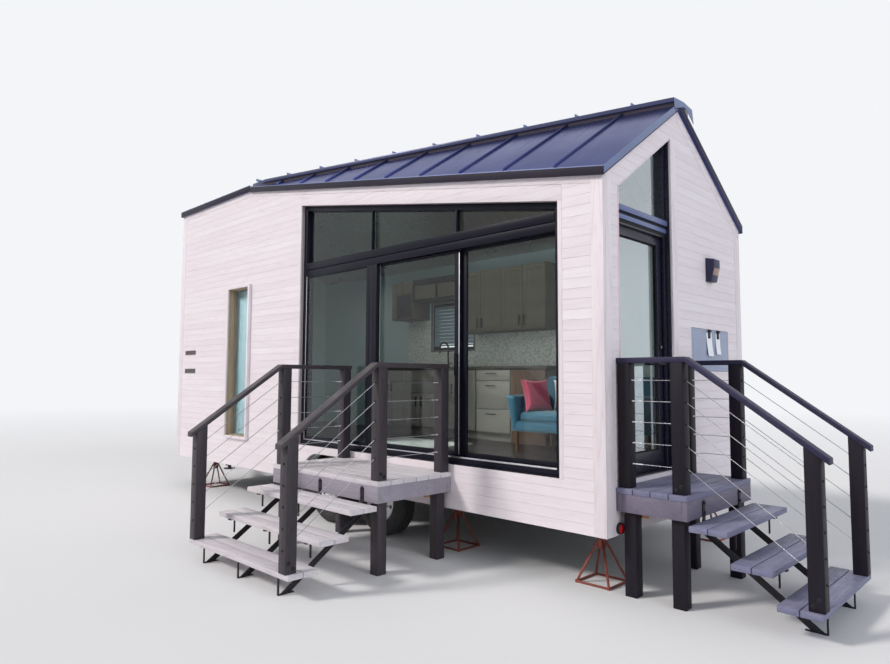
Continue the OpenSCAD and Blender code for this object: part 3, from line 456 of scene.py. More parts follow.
def build_settled(tree, taken):
    patch = noise(tree, here(tree), 5.0, 5.0, 0.65)
    drift = times(tree, ramp(tree, upward(tree), 0.55, 0.95), ramp(tree, patch, 0.42, 0.68))
    return {"Mask": times(tree, drift, taken["Amount"])}


SETTLED = group("settled dust", [("Amount", "Float", 0.5)], [("Mask", "Float")], build_settled)


def build_mottle(tree, taken):
    return {"Wide": noise(tree, taken["Vector"], 1.7, 3.0, 0.55),
            "Close": noise(tree, taken["Vector"], 60.0, 3.0, 0.6)}


MOTTLE = group("paint mottle", [("Vector", "Vector", (0, 0, 0))],
               [("Wide", "Float"), ("Close", "Float")], build_mottle)


def build_weave(tree, taken):
    parts = node(tree, "SeparateXYZ", {0: taken["Vector"]}).outputs
    slub = noise(tree, taken["Vector"], 9.0, 3.0)
    phases = [times(tree, part, taken["Threads"]) for part in parts]
    along, across = (maths(tree, "SINE", maths(tree, "ADD", phases[k], slub)) for k in (0, 2))
    deep = maths(tree, "SINE", phases[1])
    height = maths(tree, "ADD", times(tree, along, across), times(tree, deep, along))
    return {"Height": ramp(tree, height, -1.6, 1.6), "Slub": slub}


WEAVE = group("woven cloth", [("Vector", "Vector", (0, 0, 0)), ("Threads", "Float", 2400.0)],
              [("Height", "Float"), ("Slub", "Float")], build_weave)


def indoors(tree):
    """1 on the room's side of the walls and under the roof, 0 outside."""
    x, y, _ = place_of(tree)
    within = []
    for value, low, high in ((x, GABLE_X - LENGTH, GABLE_X), (y, FRONT_Y, FRONT_Y + WIDTH)):
        within.append(times(tree, maths(tree, "GREATER_THAN", value, low + 0.1),
                            maths(tree, "LESS_THAN", value, high - 0.1)))
    return times(tree, *within)


def new_finish(name, roughness=0.5, metallic=0.0, shine=0.5, **constants):
    """A material, its shader tree and the sockets of its Principled shader; shine is the specular level."""
    finish = bpy.data.materials.new(name)
    finish.use_nodes = True
    tree = finish.node_tree
    shader = tree.nodes["Principled BSDF"]
    shader.inputs["Roughness"].default_value = roughness
    shader.inputs["Metallic"].default_value = metallic
    shader.inputs["Specular IOR Level"].default_value = shine
    for label, value in constants.items():
        link_or_set(tree, shader.inputs[label.replace("_", " ")], value)
    return finish, tree, shader.inputs


STRETCH = {"x": (1.0, 13, 13), "y": (13, 1.0, 13), "z": (13, 13, 1.0)}


def wood(name, light, mid, dark, along, boards=None, rings=0.35, knots=0.0, rough=(0.5, 0.8), depth=0.0006,
         dust=None, dust_amount=0.0, **constants):
    """Sawn boards: grain runs along an axis, and each board of a run (axis, start, pitch) has its own."""
    finish, tree, sockets = new_finish(name, **constants)
    index = 0.0
    if boards:
        axis, start, pitch = boards
        from_start = maths(tree, "SUBTRACT", place_of(tree)[axis], start)
        index = maths(tree, "FLOOR", maths(tree, "DIVIDE", from_start, pitch))
    grain = use(tree, GRAIN, Vector=here(tree, STRETCH[along]), Board=index)
    colour = mix(tree, ramp(tree, grain["Blotch"], 0.35, 0.65), light, mid)
    colour = mix(tree, times(tree, grain["Tone"], 0.35), colour, mid)
    line = maths(tree, "POWER", grain["Rings"], 4.0)
    colour = mix(tree, times(tree, line, rings), colour, dark)
    colour = mix(tree, ramp(tree, grain["Fine"], 0.52, 0.72, 0.0, rings), colour, dark)
    if knots:
        colour = mix(tree, times(tree, grain["Knots"], knots), colour, dark)
    if dust:
        colour = mix(tree, use(tree, SETTLED, Amount=dust_amount)["Mask"], colour, dust)
    height = maths(tree, "ADD", times(tree, line, -0.4), grain["Fine"])
    surface(tree, sockets, colour, ramp(tree, grain["Fine"], 0.3, 0.7, *rough), height, depth)
    return finish


def painted(name, colour, worn, rough=(0.35, 0.5), metallic=0.0, depth=0.0001, dust=None, dust_amount=0.0,
            **constants):
    """A painted or coated surface with a faint mottle."""
    finish, tree, sockets = new_finish(name, metallic=metallic, **constants)
    spots = use(tree, MOTTLE, Vector=here(tree))
    base = mix(tree, ramp(tree, spots["Wide"], 0.3, 0.7), colour, worn)
    if dust:
        base = mix(tree, use(tree, SETTLED, Amount=dust_amount)["Mask"], base, dust)
    surface(tree, sockets, base, ramp(tree, spots["Close"], 0.3, 0.7, *rough), spots["Close"], depth)
    return finish


def cloth(name, colour, pale, threads=2600.0, depth=0.0004):
    """Woven cloth with a soft sheen and uneven threads."""
    finish, tree, sockets = new_finish(name, 0.85, Sheen_Weight=0.35, Sheen_Roughness=0.5)
    woven = use(tree, WEAVE, Vector=here(tree), Threads=threads)
    base = mix(tree, ramp(tree, woven["Height"], 0.2, 0.9, 0.0, 0.6), colour, pale)
    base = mix(tree, ramp(tree, woven["Slub"], 0.5, 0.8, 0.0, 0.35), base, pale)
    surface(tree, sockets, base, ramp(tree, woven["Height"], 0.0, 1.0, 0.75, 0.95), woven["Height"], depth)
    return finish


def clear_glass(name, ior, **constants):
    """Glazing: lamps pass straight through it."""
    finish, tree, sockets = new_finish(name, 0.0, Transmission_Weight=1.0, IOR=ior, **constants)
    clear, clearer = (0.92, 0.95, 0.94), (0.94, 0.965, 0.955)
    smear = noise(tree, here(tree), 1.3, 4.0, 0.6)
    surface(tree, sockets, mix(tree, ramp(tree, smear, 0.35, 0.65), clear, clearer),
            ramp(tree, smear, 0.5, 0.8, 0.0, 0.015))
    through = node(tree, "MixShader", {0: node(tree, "LightPath").outputs["Is Shadow Ray"],
                                       1: tree.nodes["Principled BSDF"].outputs[0],
                                       2: node(tree, "BsdfTransparent", {"Color": clear}).outputs[0]})
    tree.links.new(through.outputs[0], tree.nodes["Material Output"].inputs["Surface"])
    return finish


def lined_wall():
    """Painted shade on the walls' outer faces, seen in the siding's gaps, and painted lining in the room."""
    finish, tree, sockets = new_finish("wall lining", 0.7)
    spots = use(tree, MOTTLE, Vector=here(tree))
    room = mix(tree, ramp(tree, spots["Wide"], 0.3, 0.7), (0.50, 0.66, 0.66), (0.46, 0.62, 0.63))
    # The outer faces are darker than the boards so the gaps between them look shaded: painted shade.
    behind = mix(tree, spots["Wide"], (0.36, 0.30, 0.31), (0.42, 0.35, 0.36))
    surface(tree, sockets, mix(tree, indoors(tree), behind, room), None, spots["Close"], 0.0002)
    return finish


def roof_coat():
    """Dark roof sheet, its blue partly its own coat and partly painted sky reflection, with faint ribs along the
    panels; pale boards under it in the room.
    """
    finish, tree, sockets = new_finish("roof sheet", metallic=0.88, shine=0.3)
    spots = use(tree, MOTTLE, Vector=here(tree))
    x = place_of(tree)[0]
    ribs = ramp(tree, stripes(tree, x, 0.0825), 0.0, 0.006, 1.0, 0.0)
    inner = times(tree, ramp(tree, upward(tree), -0.4, -0.2, 1.0, 0.0), indoors(tree))
    joints = ramp(tree, stripes(tree, x, 0.07), 0.0, 0.003, 1.0, 0.0)
    ceiling = mix(tree, times(tree, joints, 0.7), (0.62, 0.60, 0.55), (0.15, 0.14, 0.12))
    # The coat's strong blue stands partly for the sky reflected in a darker sheet: painted reflection.
    coat = mix(tree, ramp(tree, spots["Wide"], 0.3, 0.7), (0.082, 0.096, 0.262), (0.064, 0.077, 0.215))
    height = maths(tree, "ADD", ribs, times(tree, spots["Wide"], 1.5))
    surface(tree, sockets, mix(tree, inner, coat, ceiling), ramp(tree, spots["Wide"], 0.3, 0.7, 0.24, 0.34),
            height, 0.0012)
    return finish


def speckled(name, pale, dark, scale, depth, rough=0.25):
    """Small mosaic tiles or a speckled top: cells with their own tone and a joint between them."""
    finish, tree, sockets = new_finish(name, rough)
    cells = node(tree, "TexVoronoi", {"Vector": here(tree), "Scale": scale})
    edges = node(tree, "TexVoronoi", {"Vector": here(tree), "Scale": scale},
                 feature="DISTANCE_TO_EDGE").outputs[0]
    value = node(tree, "SeparateColor", {0: cells.outputs["Color"]}).outputs[0]
    base = mix(tree, ramp(tree, value, 0.35, 0.9), pale, dark)
    joint = ramp(tree, edges, 0.02, 0.09)
    surface(tree, sockets, mix(tree, joint, [c * 0.6 for c in pale], base),
            ramp(tree, value, 0.0, 1.0, rough, rough + 0.2), joint, depth)
    return finish


def steel(name, colour, rough, strands=0.0):
    """Bare metal; strands gives a cable its lay."""
    finish, tree, sockets = new_finish(name, metallic=1.0)
    spots = use(tree, MOTTLE, Vector=here(tree))
    height = spots["Close"]
    if strands:
        lay = node(tree, "TexWave", {"Vector": here(tree), "Scale": strands}, bands_direction="DIAGONAL")
        height = maths(tree, "ADD", lay.outputs["Fac"], height)
    surface(tree, sockets, mix(tree, spots["Wide"], colour, [c * 0.85 for c in colour]),
            ramp(tree, spots["Close"], 0.3, 0.7, *rough), height, 0.0003)
    return finish


PALE = ((0.80, 0.735, 0.755), (0.74, 0.665, 0.69), (0.56, 0.47, 0.49))
SIDING_ROW = (2, SIDING_Z - 0.0015, BOARD_PITCH)
SIDING_X = wood("washed siding, long walls", *PALE, "x", SIDING_ROW, rings=0.16, knots=0.25)
SIDING_Y = wood("washed siding, gables", *PALE, "y", SIDING_ROW, rings=0.12, knots=0.2)
TRIM_X = wood("washed trim, level", *PALE, "x", rings=0.4)
TRIM_Y = wood("washed trim, sloping", *PALE, "y", rings=0.4)
TRIM_Z = wood("washed trim, upright", *PALE, "z", rings=0.4)
EDGE_PINK = wood("primed edge strip", (0.80, 0.62, 0.64), (0.72, 0.55, 0.58), (0.55, 0.4, 0.42), "z")
LINING = lined_wall()
ROOF = roof_coat()
FLASHING = painted("back rake sheet", (0.030, 0.024, 0.056), (0.024, 0.019, 0.046), (0.4, 0.5), shine=0.2)
EAVE_SHEET = painted("front eave sheet", (0.026, 0.021, 0.034), (0.020, 0.016, 0.028),
                     (0.45, 0.55), shine=0.15)
# The roof's own metal, lighter where it faces the sky: painted sky light on the rake band, the eave's top edge,
# the cap's end sheet and the seam ends.
SKY_LIT_SHEET = painted("roof edge sheet, painted sky light", (0.17, 0.215, 0.36), (0.145, 0.185, 0.32), (0.4, 0.5), 0.3, 0.00003)
CAP_SHEET = painted("ridge sheet", (0.050, 0.058, 0.130), (0.040, 0.046, 0.105), (0.28, 0.4), 0.3, 0.0002)
# The recessed closure under the cap's hem is painted dark: painted shade.
CLOSURE_SHADE = painted("ridge closure, painted shade", (0.055, 0.040, 0.058), (0.042, 0.030, 0.046), (0.5, 0.65), 0.0, 0.0002)
BLACK = painted("black window coat", (0.007, 0.007, 0.014), (0.010, 0.010, 0.019), (0.32, 0.46),
                depth=0.00008, shine=0.12)
NAVY = painted("blue-black door coat", (0.018, 0.017, 0.034), (0.014, 0.013, 0.027), (0.25, 0.35),
               depth=0.00008, shine=0.4)
# A lighter blue than the door's own navy, for the lips over the door: painted sky light.
LIP_SKY_LIGHT = painted("door lip coat, painted sky light", (0.13, 0.165, 0.33), (0.11, 0.14, 0.28), (0.3, 0.4), 0.0, 0.00008)
GASKET = painted("glazing gasket", (0.010, 0.010, 0.012), (0.015, 0.015, 0.017), (0.6, 0.75), depth=0.0002,
                 shine=0.2)
BRIGHT = steel("bright track metal", (0.72, 0.71, 0.74), (0.25, 0.4))
GLASS = clear_glass("clear glazing", 1.27)
# The gable panes reflect far more than the front's glass, tinted blue: painted sky reflection.
SKY_REFLECTING_GLASS = clear_glass("gable glazing, painted sky reflection", 3.3, Specular_Tint=(0.84, 0.92, 1.0))
FITTING = painted("black fittings", (0.012, 0.012, 0.016), (0.020, 0.020, 0.024), (0.35, 0.5), shine=0.25)
CHARCOAL, GREY_STAIN = {"rings": 0.3, "depth": 0.0007}, {"rings": 0.28, "depth": 0.0008}
POST = wood("charcoal stain, front posts", (0.050, 0.040, 0.047), (0.036, 0.029, 0.036),
            (0.015, 0.012, 0.016), "z", rough=(0.36, 0.55), shine=0.3, **CHARCOAL)
# Darker, bluer copy of the post stain for the entry stoop: painted shade.
POST_ENTRY_SHADE = wood("charcoal stain, entry posts, painted shade", (0.018, 0.014, 0.021), (0.013, 0.010, 0.016),
                  (0.006, 0.005, 0.008), "z", rough=(0.4, 0.6), shine=0.15, **CHARCOAL)
RAIL_Y = wood("charcoal stain, front rails", (0.062, 0.050, 0.056), (0.044, 0.036, 0.043),
              (0.018, 0.015, 0.02), "y", rough=(0.42, 0.62), dust=(0.22, 0.20, 0.19), dust_amount=0.45,
              shine=0.3, **CHARCOAL)
# Darker, bluer copy of the rail stain for the entry stoop, its dust colour too: painted shade.
RAIL_X_SHADE = wood("charcoal stain, entry rails, painted shade", (0.034, 0.030, 0.068), (0.025, 0.022, 0.052),
              (0.010, 0.009, 0.020), "x", rough=(0.42, 0.62), dust=(0.10, 0.095, 0.16), dust_amount=0.3,
              shine=0.2, **CHARCOAL)
# Lighter copy of the grey stain for the front stoop's deck: painted sunlight.
DECK_FRONT_SUNLIT = wood("grey stain, front deck, painted sunlight", (0.68, 0.63, 0.65), (0.57, 0.525, 0.555), (0.31, 0.28, 0.30),
                  "x", (1, -3.0, 0.136), rough=(0.5, 0.75), dust=(0.72, 0.68, 0.68),
                  dust_amount=0.4, **GREY_STAIN)
# Darker, bluer copy of the grey stain for the entry stoop, its dust colour too: painted shade.
DECK_ENTRY_SHADE = wood("grey stain, entry deck, painted shade", (0.19, 0.19, 0.29), (0.15, 0.15, 0.24), (0.075, 0.072, 0.12),
                  "y", (0, 3.3765, 0.13025), rough=(0.45, 0.7), dust=(0.34, 0.33, 0.42), dust_amount=0.3,
                  **GREY_STAIN)
# Lighter copy of the grey stain for the front stoop's rim: painted sunlight.
RIM_FRONT_SUNLIT = wood("grey stain, front rim, painted sunlight", (0.32, 0.29, 0.335), (0.26, 0.235, 0.28), (0.14, 0.12, 0.15), "x",
                 rough=(0.5, 0.7), **GREY_STAIN)
# Darker, bluer copy of the rim's grey stain for the entry stoop: painted shade.
RIM_ENTRY_SHADE = wood("grey stain, entry rim, painted shade", (0.165, 0.145, 0.20), (0.13, 0.112, 0.16), (0.065, 0.055, 0.08), "y",
                 rough=(0.5, 0.7), **GREY_STAIN)
BARE_WOOD = wood("bare framing wood", (0.62, 0.30, 0.14), (0.50, 0.22, 0.10), (0.30, 0.12, 0.05), "x",
                 rings=0.5, knots=0.6)
STRINGER = painted("black stringer paint", (0.012, 0.011, 0.016), (0.020, 0.018, 0.022), (0.4, 0.55), 0.0, 0.0002,
                   dust=(0.20, 0.18, 0.17), dust_amount=0.3, shine=0.25)
CABLE = steel("stainless cable", (0.46, 0.46, 0.49), (0.35, 0.5), strands=160.0)
SLEEVE = steel("polished cable sleeve", (0.80, 0.80, 0.83), (0.22, 0.35))
TRAILER = painted("black chassis paint", (0.015, 0.015, 0.018), (0.028, 0.025, 0.025), (0.45, 0.65), 0.0, 0.0004,
                  dust=(0.22, 0.19, 0.17), dust_amount=0.4, shine=0.25)
RUST = painted("rust-red primer", (0.26, 0.055, 0.035), (0.16, 0.035, 0.025), (0.5, 0.75), 0.0, 0.0006,
               dust=(0.35, 0.22, 0.16), dust_amount=0.4)
TYRE = painted("tyre rubber", (0.020, 0.020, 0.021), (0.035, 0.033, 0.032), (0.7, 0.9), 0.0, 0.0006)
RIM_STEEL = painted("silver wheel coat", (0.66, 0.66, 0.68), (0.58, 0.58, 0.60), (0.3, 0.42), 0.5, 0.0002)
LENS = painted("red lens", (0.50, 0.012, 0.015), (0.42, 0.01, 0.012), (0.1, 0.2), Coat_Weight=0.6,
               Coat_Roughness=0.1)
HATCH = painted("grey hatch paint", (0.34, 0.385, 0.50), (0.29, 0.33, 0.44), (0.45, 0.6), 0.0, 0.0003)
PAPER = painted("blank note paper", (0.88, 0.88, 0.90), (0.84, 0.84, 0.87), (0.8, 0.95), 0.0, 0.0002)
LAMP = painted("lamp coat", (0.034, 0.035, 0.085), (0.027, 0.028, 0.066), (0.4, 0.55), depth=0.0002,
               shine=0.3)
DIFFUSER = painted("warm lamp glass", (0.36, 0.22, 0.17), (0.28, 0.17, 0.13), (0.25, 0.4), 0.0, 0.0003)
FLOOR_WOOD = wood("dark floor boards", (0.040, 0.033, 0.033), (0.028, 0.023, 0.024), (0.010, 0.008, 0.008), "x",
                  (1, FRONT_Y + 0.1, 0.18), rings=0.4, rough=(0.3, 0.5), depth=0.0005)
CABINET = painted("grey cabinet paint", (0.24, 0.23, 0.205), (0.215, 0.205, 0.18), (0.4, 0.55), 0.0, 0.0002)
END_PANEL = wood("brown end panel", (0.13, 0.083, 0.06), (0.10, 0.062, 0.046), (0.05, 0.03, 0.022), "z",
                 rings=0.5)
OLIVE = wood("dark olive doors", (0.15, 0.142, 0.10), (0.12, 0.113, 0.08), (0.07, 0.066, 0.05), "x",
             rings=0.2, rough=(0.45, 0.6))
TAN_WOOD = wood("tan window lining", (0.50, 0.40, 0.28), (0.42, 0.33, 0.23), (0.24, 0.18, 0.12), "z",
                rings=0.3, rough=(0.45, 0.6))
TOP = speckled("dark worktop", (0.10, 0.09, 0.08), (0.035, 0.03, 0.028), 220.0, 0.0001)
TILES = speckled("mosaic splash tiles", (0.92, 0.95, 0.88), (0.55, 0.60, 0.53), 60.0, 0.0008)
BLIND = painted("pale blue blind", (0.26, 0.40, 0.45), (0.235, 0.37, 0.42), (0.6, 0.8), 0.0, 0.0002)
VENT_GREY = painted("dull vent grey", (0.19, 0.17, 0.16), (0.15, 0.135, 0.13), (0.5, 0.7))
BOARD_BLACK = painted("blank black board", (0.022, 0.022, 0.026), (0.035, 0.035, 0.04), (0.7, 0.85), 0.0, 0.0002)
TEAL = cloth("teal woven cloth", (0.010, 0.085, 0.145), (0.02, 0.14, 0.21))
RED = cloth("deep red cloth", (0.36, 0.022, 0.07), (0.55, 0.08, 0.14), 2200.0)
WHITE_CLOTH = cloth("white cloth", (0.72, 0.72, 0.74), (0.82, 0.82, 0.84), 2200.0)
LEG_WOOD = wood("turned leg wood", (0.22, 0.12, 0.07), (0.16, 0.09, 0.05), (0.08, 0.04, 0.025), "z",
                rings=0.4, rough=(0.3, 0.45))
MAT_CLOTH = cloth("grey-green mat", (0.34, 0.40, 0.38), (0.55, 0.60, 0.58), 1500.0, 0.0008)


# ---- boards of the house ----
def hole(s, t, z, under=(), over=()):
    """A block that cuts an opening."""
    return board(s, t, z, under, over, soft=0)


def round_edges(piece, radius, test, rounds=10):
    """Rounds the edges that the test picks by their two ends."""
    edit(piece)
    bpy.ops.mesh.select_mode(type="EDGE")
    bpy.ops.mesh.select_all(action="DESELECT")
    done()
    for edge in piece.data.edges:
        a, b = (piece.data.vertices[i].co for i in edge.vertices)
        edge.select = test(a, b)
    bpy.ops.object.mode_set(mode="EDIT")
    bpy.ops.mesh.bevel(offset=radius, segments=rounds, affect="EDGES")
    bpy.ops.mesh.select_mode(type="VERT")
    done()
    return piece


def arch_hole(t):
    """The opening over both wheels, its upper corners round."""
    piece = hole((2.09, 3.75), t, (0.2, 0.705))
    return round_edges(piece, 0.26, lambda a, b: min(a.z, b.z) > 0.7 and abs(a.x - b.x) < 1e-4)


def board_run(name, s, t, finish, under, openings, count=46):
    """Siding boards from the lower edge to the roof, cut round the openings."""
    piece = board(s, t, (SIDING_Z, SIDING_Z + BOARD_PITCH - 0.001), soft=0.0007, rounds=1)
    repeat(piece, count, (0, 0, BOARD_PITCH))
    for plane, up in under:
        cut_roof(piece, plane, up)
    for tool in openings:
        take_away(piece, tool)
    return fit(piece, name, finish, slot="siding_wood")


def siding():
    """The boards of the four walls, with their openings."""
    skin, through = (0.003, 0.019), (-0.05, 0.1)
    long, short = (CORNER, LENGTH - CORNER), (0.12, 2.47)
    rake_hole = ((RIDGE_T, 2.6), (2.8, ABOVE), (), on("back", -RAKE))
    board_run("siding_front", long, skin, SIDING_X, on("front", -FRIEZE) + on("top", -FRIEZE), [
        hole((CASING_NEAR, OPEN_FAR), through, (FLOOR_Z, ABOVE)), arch_hole(through),
        hole((4.938, 5.502), through, (0.753, 2.677)),
        *(hole((6.43, 6.76), through, (z, z + VENT_H)) for z in VENTS_Z)])
    board_run("siding_entry", skin, short, SIDING_Y, on("front"), [
        hole(through, *rake_hole),
        hole(through, (0.225, 1.1), (FLOOR_Z, 4), under=on("front", -HEAD_DROP)),
        hole(through, (1.0995, 1.2), (FLOOR_Z, 3.54)), hole(through, (1.438, 2.252), (1.588, 1.967))])
    rear = (WIDTH - 0.1, WIDTH + 0.05)
    board_run("siding_back", long, (WIDTH - 0.019, WIDTH - 0.003), SIDING_X, on("back"), [
        hole((3.4, 4.2), rear, (1.9, 2.56)), arch_hole(rear)], 35)
    board_run("siding_far", (LENGTH - 0.019, LENGTH - 0.003), short, SIDING_Y, on("front") + on("top"), [
        hole((LENGTH - 0.1, LENGTH + 0.05), *rake_hole)])


def trim_boards():
    """Corner boards, casings, friezes and rakes."""
    up, level, slope = [], [], []
    full = (SIDING_Z, ABOVE)
    face, rear = (0, TRIM), (2.47, 2.5695)
    for s0, planes in ((0, on("front")), (LENGTH - CORNER, on("top"))):
        up.append(board((s0, s0 + CORNER), face, full, planes))
        up.append(board((s0, s0 + CORNER), (2.57, 2.59), full, on("back")))
    for s, planes in ((face, on("front")), ((LENGTH - TRIM, LENGTH), on("top"))):
        up.append(board(s, (0.0205, 0.12), full, planes))
        up.append(board(s, rear, full, on("back", -RAKE)))
        slope.append(board(s, (RIDGE_T, rear[1]), (2.6, ABOVE), on("back"), on("back", -RAKE)))
    up.append(board(face, (1.1, 1.2), (FLOOR_Z, 3.54)))
    up.append(board((CASING_NEAR, OPEN_NEAR), face, (FLOOR_Z, 3.5), on("front", -HEAD_DROP)))
    level.append(board((CORNER, RIDGE_END), face, (2.7, ABOVE), on("front"), on("front", -FRIEZE)))
    level.append(board((RIDGE_END, LENGTH - CORNER), face, (2.7, ABOVE), on("top"), on("top", -FRIEZE)))
    level.append(board((CASING_NEAR, OPEN_FAR), (0, 0.019), (2.7, ABOVE), on("front", -FRIEZE - 0.003),
                       on("front", -HEAD_DROP)))
    up += sash((4.94, 5.50), (-0.035, 0.13), (0.755, 2.675), 0.03, 0.002)
    proud = (-0.002, TRIM)
    slope.append(board(proud, (0.225, 1.1), (2.7, 3.7), on("front", -HEAD_DROP + 0.012),
                       on("front", -HEAD_DROP)))
    strip = board(proud, (0.215, 0.225), (FLOOR_Z, 3.5), on("front", -HEAD_DROP + 0.012))
    fit(join(up), "trim_upright", TRIM_Z, slot="trim_wood", replaces=("pale_trim",))
    fit(join(level), "trim_level", TRIM_X, slot="trim_wood")
    fit(join(slope), "trim_sloping", TRIM_Y, slot="trim_wood")
    fit(strip, "door_edge_strip", EDGE_PINK, slot="trim_wood")


def edge_sheet(s, t, plane, low, high, soft=0.0015):
    """A strip of sheet along a roof edge, between two heights over the roof's underside."""
    return board(s, t, (2.6 if plane != "top" else 3, ABOVE), on(plane, high), on(plane, low), soft)


def roof():
    """The roof's sheets and seams, the bands and flashings on its edges, and the cap's closing sheet."""
    for name, width in (("roof_front", 0.003), ("roof_top", 0.003), ("roof_back", 0.003),
                        ("roof_seams", 0.002)):
        softened(name, ROOF, slot="roof_metal", width=width)
    cap = softened("ridge_cap", CAP_SHEET, slot="roof_metal", width=0.0025)
    # The recessed faces under the cap's hem get the dark finish: painted shade.
    second_finish(cap, CLOSURE_SHADE, lambda face: face.normal.y < -0.5 and face.center.z < (
        RIDGE_Z - TOP_SLOPE * (face.center.y - FRONT_Y - RIDGE_T) + 0.071 - 0.0385))
    outer, inner = 0.029, 0.0248
    near, far = (-outer, -inner), (LENGTH + inner, LENGTH + outer)
    fit(join([edge_sheet((-outer, RIDGE_END), near, "front", -0.003, 0.0615),
              edge_sheet((RIDGE_END, far[1]), near, "top", -0.003, 0.0615)]),
        "front_eave_band", EAVE_SHEET, slot="roof_metal")
    # The eave band's top edge and the front rake carry painted sky light.
    lip = (-0.0305, -inner)
    fit(join([edge_sheet((-0.0295, RIDGE_END), lip, "front", 0.062, 0.069, 0.001),
              edge_sheet((RIDGE_END, far[1]), lip, "top", 0.062, 0.069, 0.001),
              edge_sheet(near, (-inner, 1.15), "front", 0.0075, 0.0675)]),
        "pale_rake_band", SKY_LIT_SHEET, slot="roof_metal")
    dark = [edge_sheet((-0.027, -inner), (-inner, RIDGE_T), "front", -0.003, 0.0072, 0.0008)]
    back = (2.6148, 2.619)
    for low, high, lift in ((0.028, 0.0685, 0.0012), (-0.003, 0.026, 0)):
        dark += [edge_sheet((-outer - lift, -inner), (RIDGE_T, back[0]), "back", low, high),
                 edge_sheet((-outer, far[1]), (back[0], back[1] + lift), "back", low, high),
                 board(far, (-inner, RIDGE_T), (2.6, ABOVE), on("top", high), on("top", low)),
                 edge_sheet(far, (RIDGE_T, back[0]), "back", low, high)]
    fit(join(dark), "roof_edge_flashing", FLASHING, slot="roof_metal")

    # Folded sheet that closes the cap over the gable, and the back seams' ends on the cap, both in the sheet with
    # painted sky light
    outline = [(1.132, 3.902), (1.305, 3.916), (1.477, 3.897), (1.505, 3.772), (1.367, 3.863), (1.303, 3.868),
               (1.134, 3.807)]
    pick()
    bpy.ops.mesh.primitive_circle_add(vertices=len(outline), radius=1, fill_type="NGON")
    end = bpy.context.active_object
    for v, (t, z) in zip(end.data.vertices, outline):
        v.co = at(-0.0335, t, z)
    edit(end)
    bpy.ops.mesh.normals_make_consistent(inside=False)
    bpy.ops.mesh.extrude_region_move(TRANSFORM_OT_translate={"value": (-0.0040, 0, 0)})
    bpy.ops.mesh.select_all(action="SELECT")
    bpy.ops.mesh.normals_make_consistent(inside=False)
    done()
    ease(end, 0.0012, 2)
    fit(end, "ridge_end_sheet", SKY_LIT_SHEET, slot="roof_metal")
    tabs = []
    for k in range(10):
        s = 0.33 + 0.495 * k
        t = (RIDGE_Z + TOP_SLOPE * RIDGE_T - EAVE_Z - EAVE_RISE * s) / (FRONT_SLOPE + TOP_SLOPE)
        tabs.append(edge_sheet((s - 0.0045, s + 0.0045), (t - 0.106, t + 0.262), "top", 0.0712, 0.101))
    fit(join(tabs), "seam_ends_on_cap", SKY_LIT_SHEET, slot="roof_metal")


# ---- windows and doors ----
def sash(s, t, z, width, soft=0.0015):
    """Two stiles and two rails, in one width or as (near stile, far stile, bottom rail, top rail)."""
    near, far, foot, head = width if isinstance(width, tuple) else (width,) * 4
    (s0, s1), (z0, z1) = s, z
    return [board((s0, s0 + near), t, z, soft=soft), board((s1 - far, s1), t, z, soft=soft),
            board((s0 + near, s1 - far), t, (z0, z0 + foot), soft=soft),
            board((s0 + near, s1 - far), t, (z1 - head, z1), soft=soft)]


def beads(s, t, z, width, thick=0.006):
    """Soft glazing beads on both sides of a pane."""
    near, far, foot, head = width
    mid = (t[0] + t[1]) / 2
    made = []
    for t0 in (mid - 0.004 - thick, mid + 0.004):
        made += sash((s[0] + near - 0.001, s[1] - far + 0.001), (t0, t0 + thick),
                     (z[0] + foot - 0.001, z[1] - head + 0.001), 0.005, 0.001)
    return made


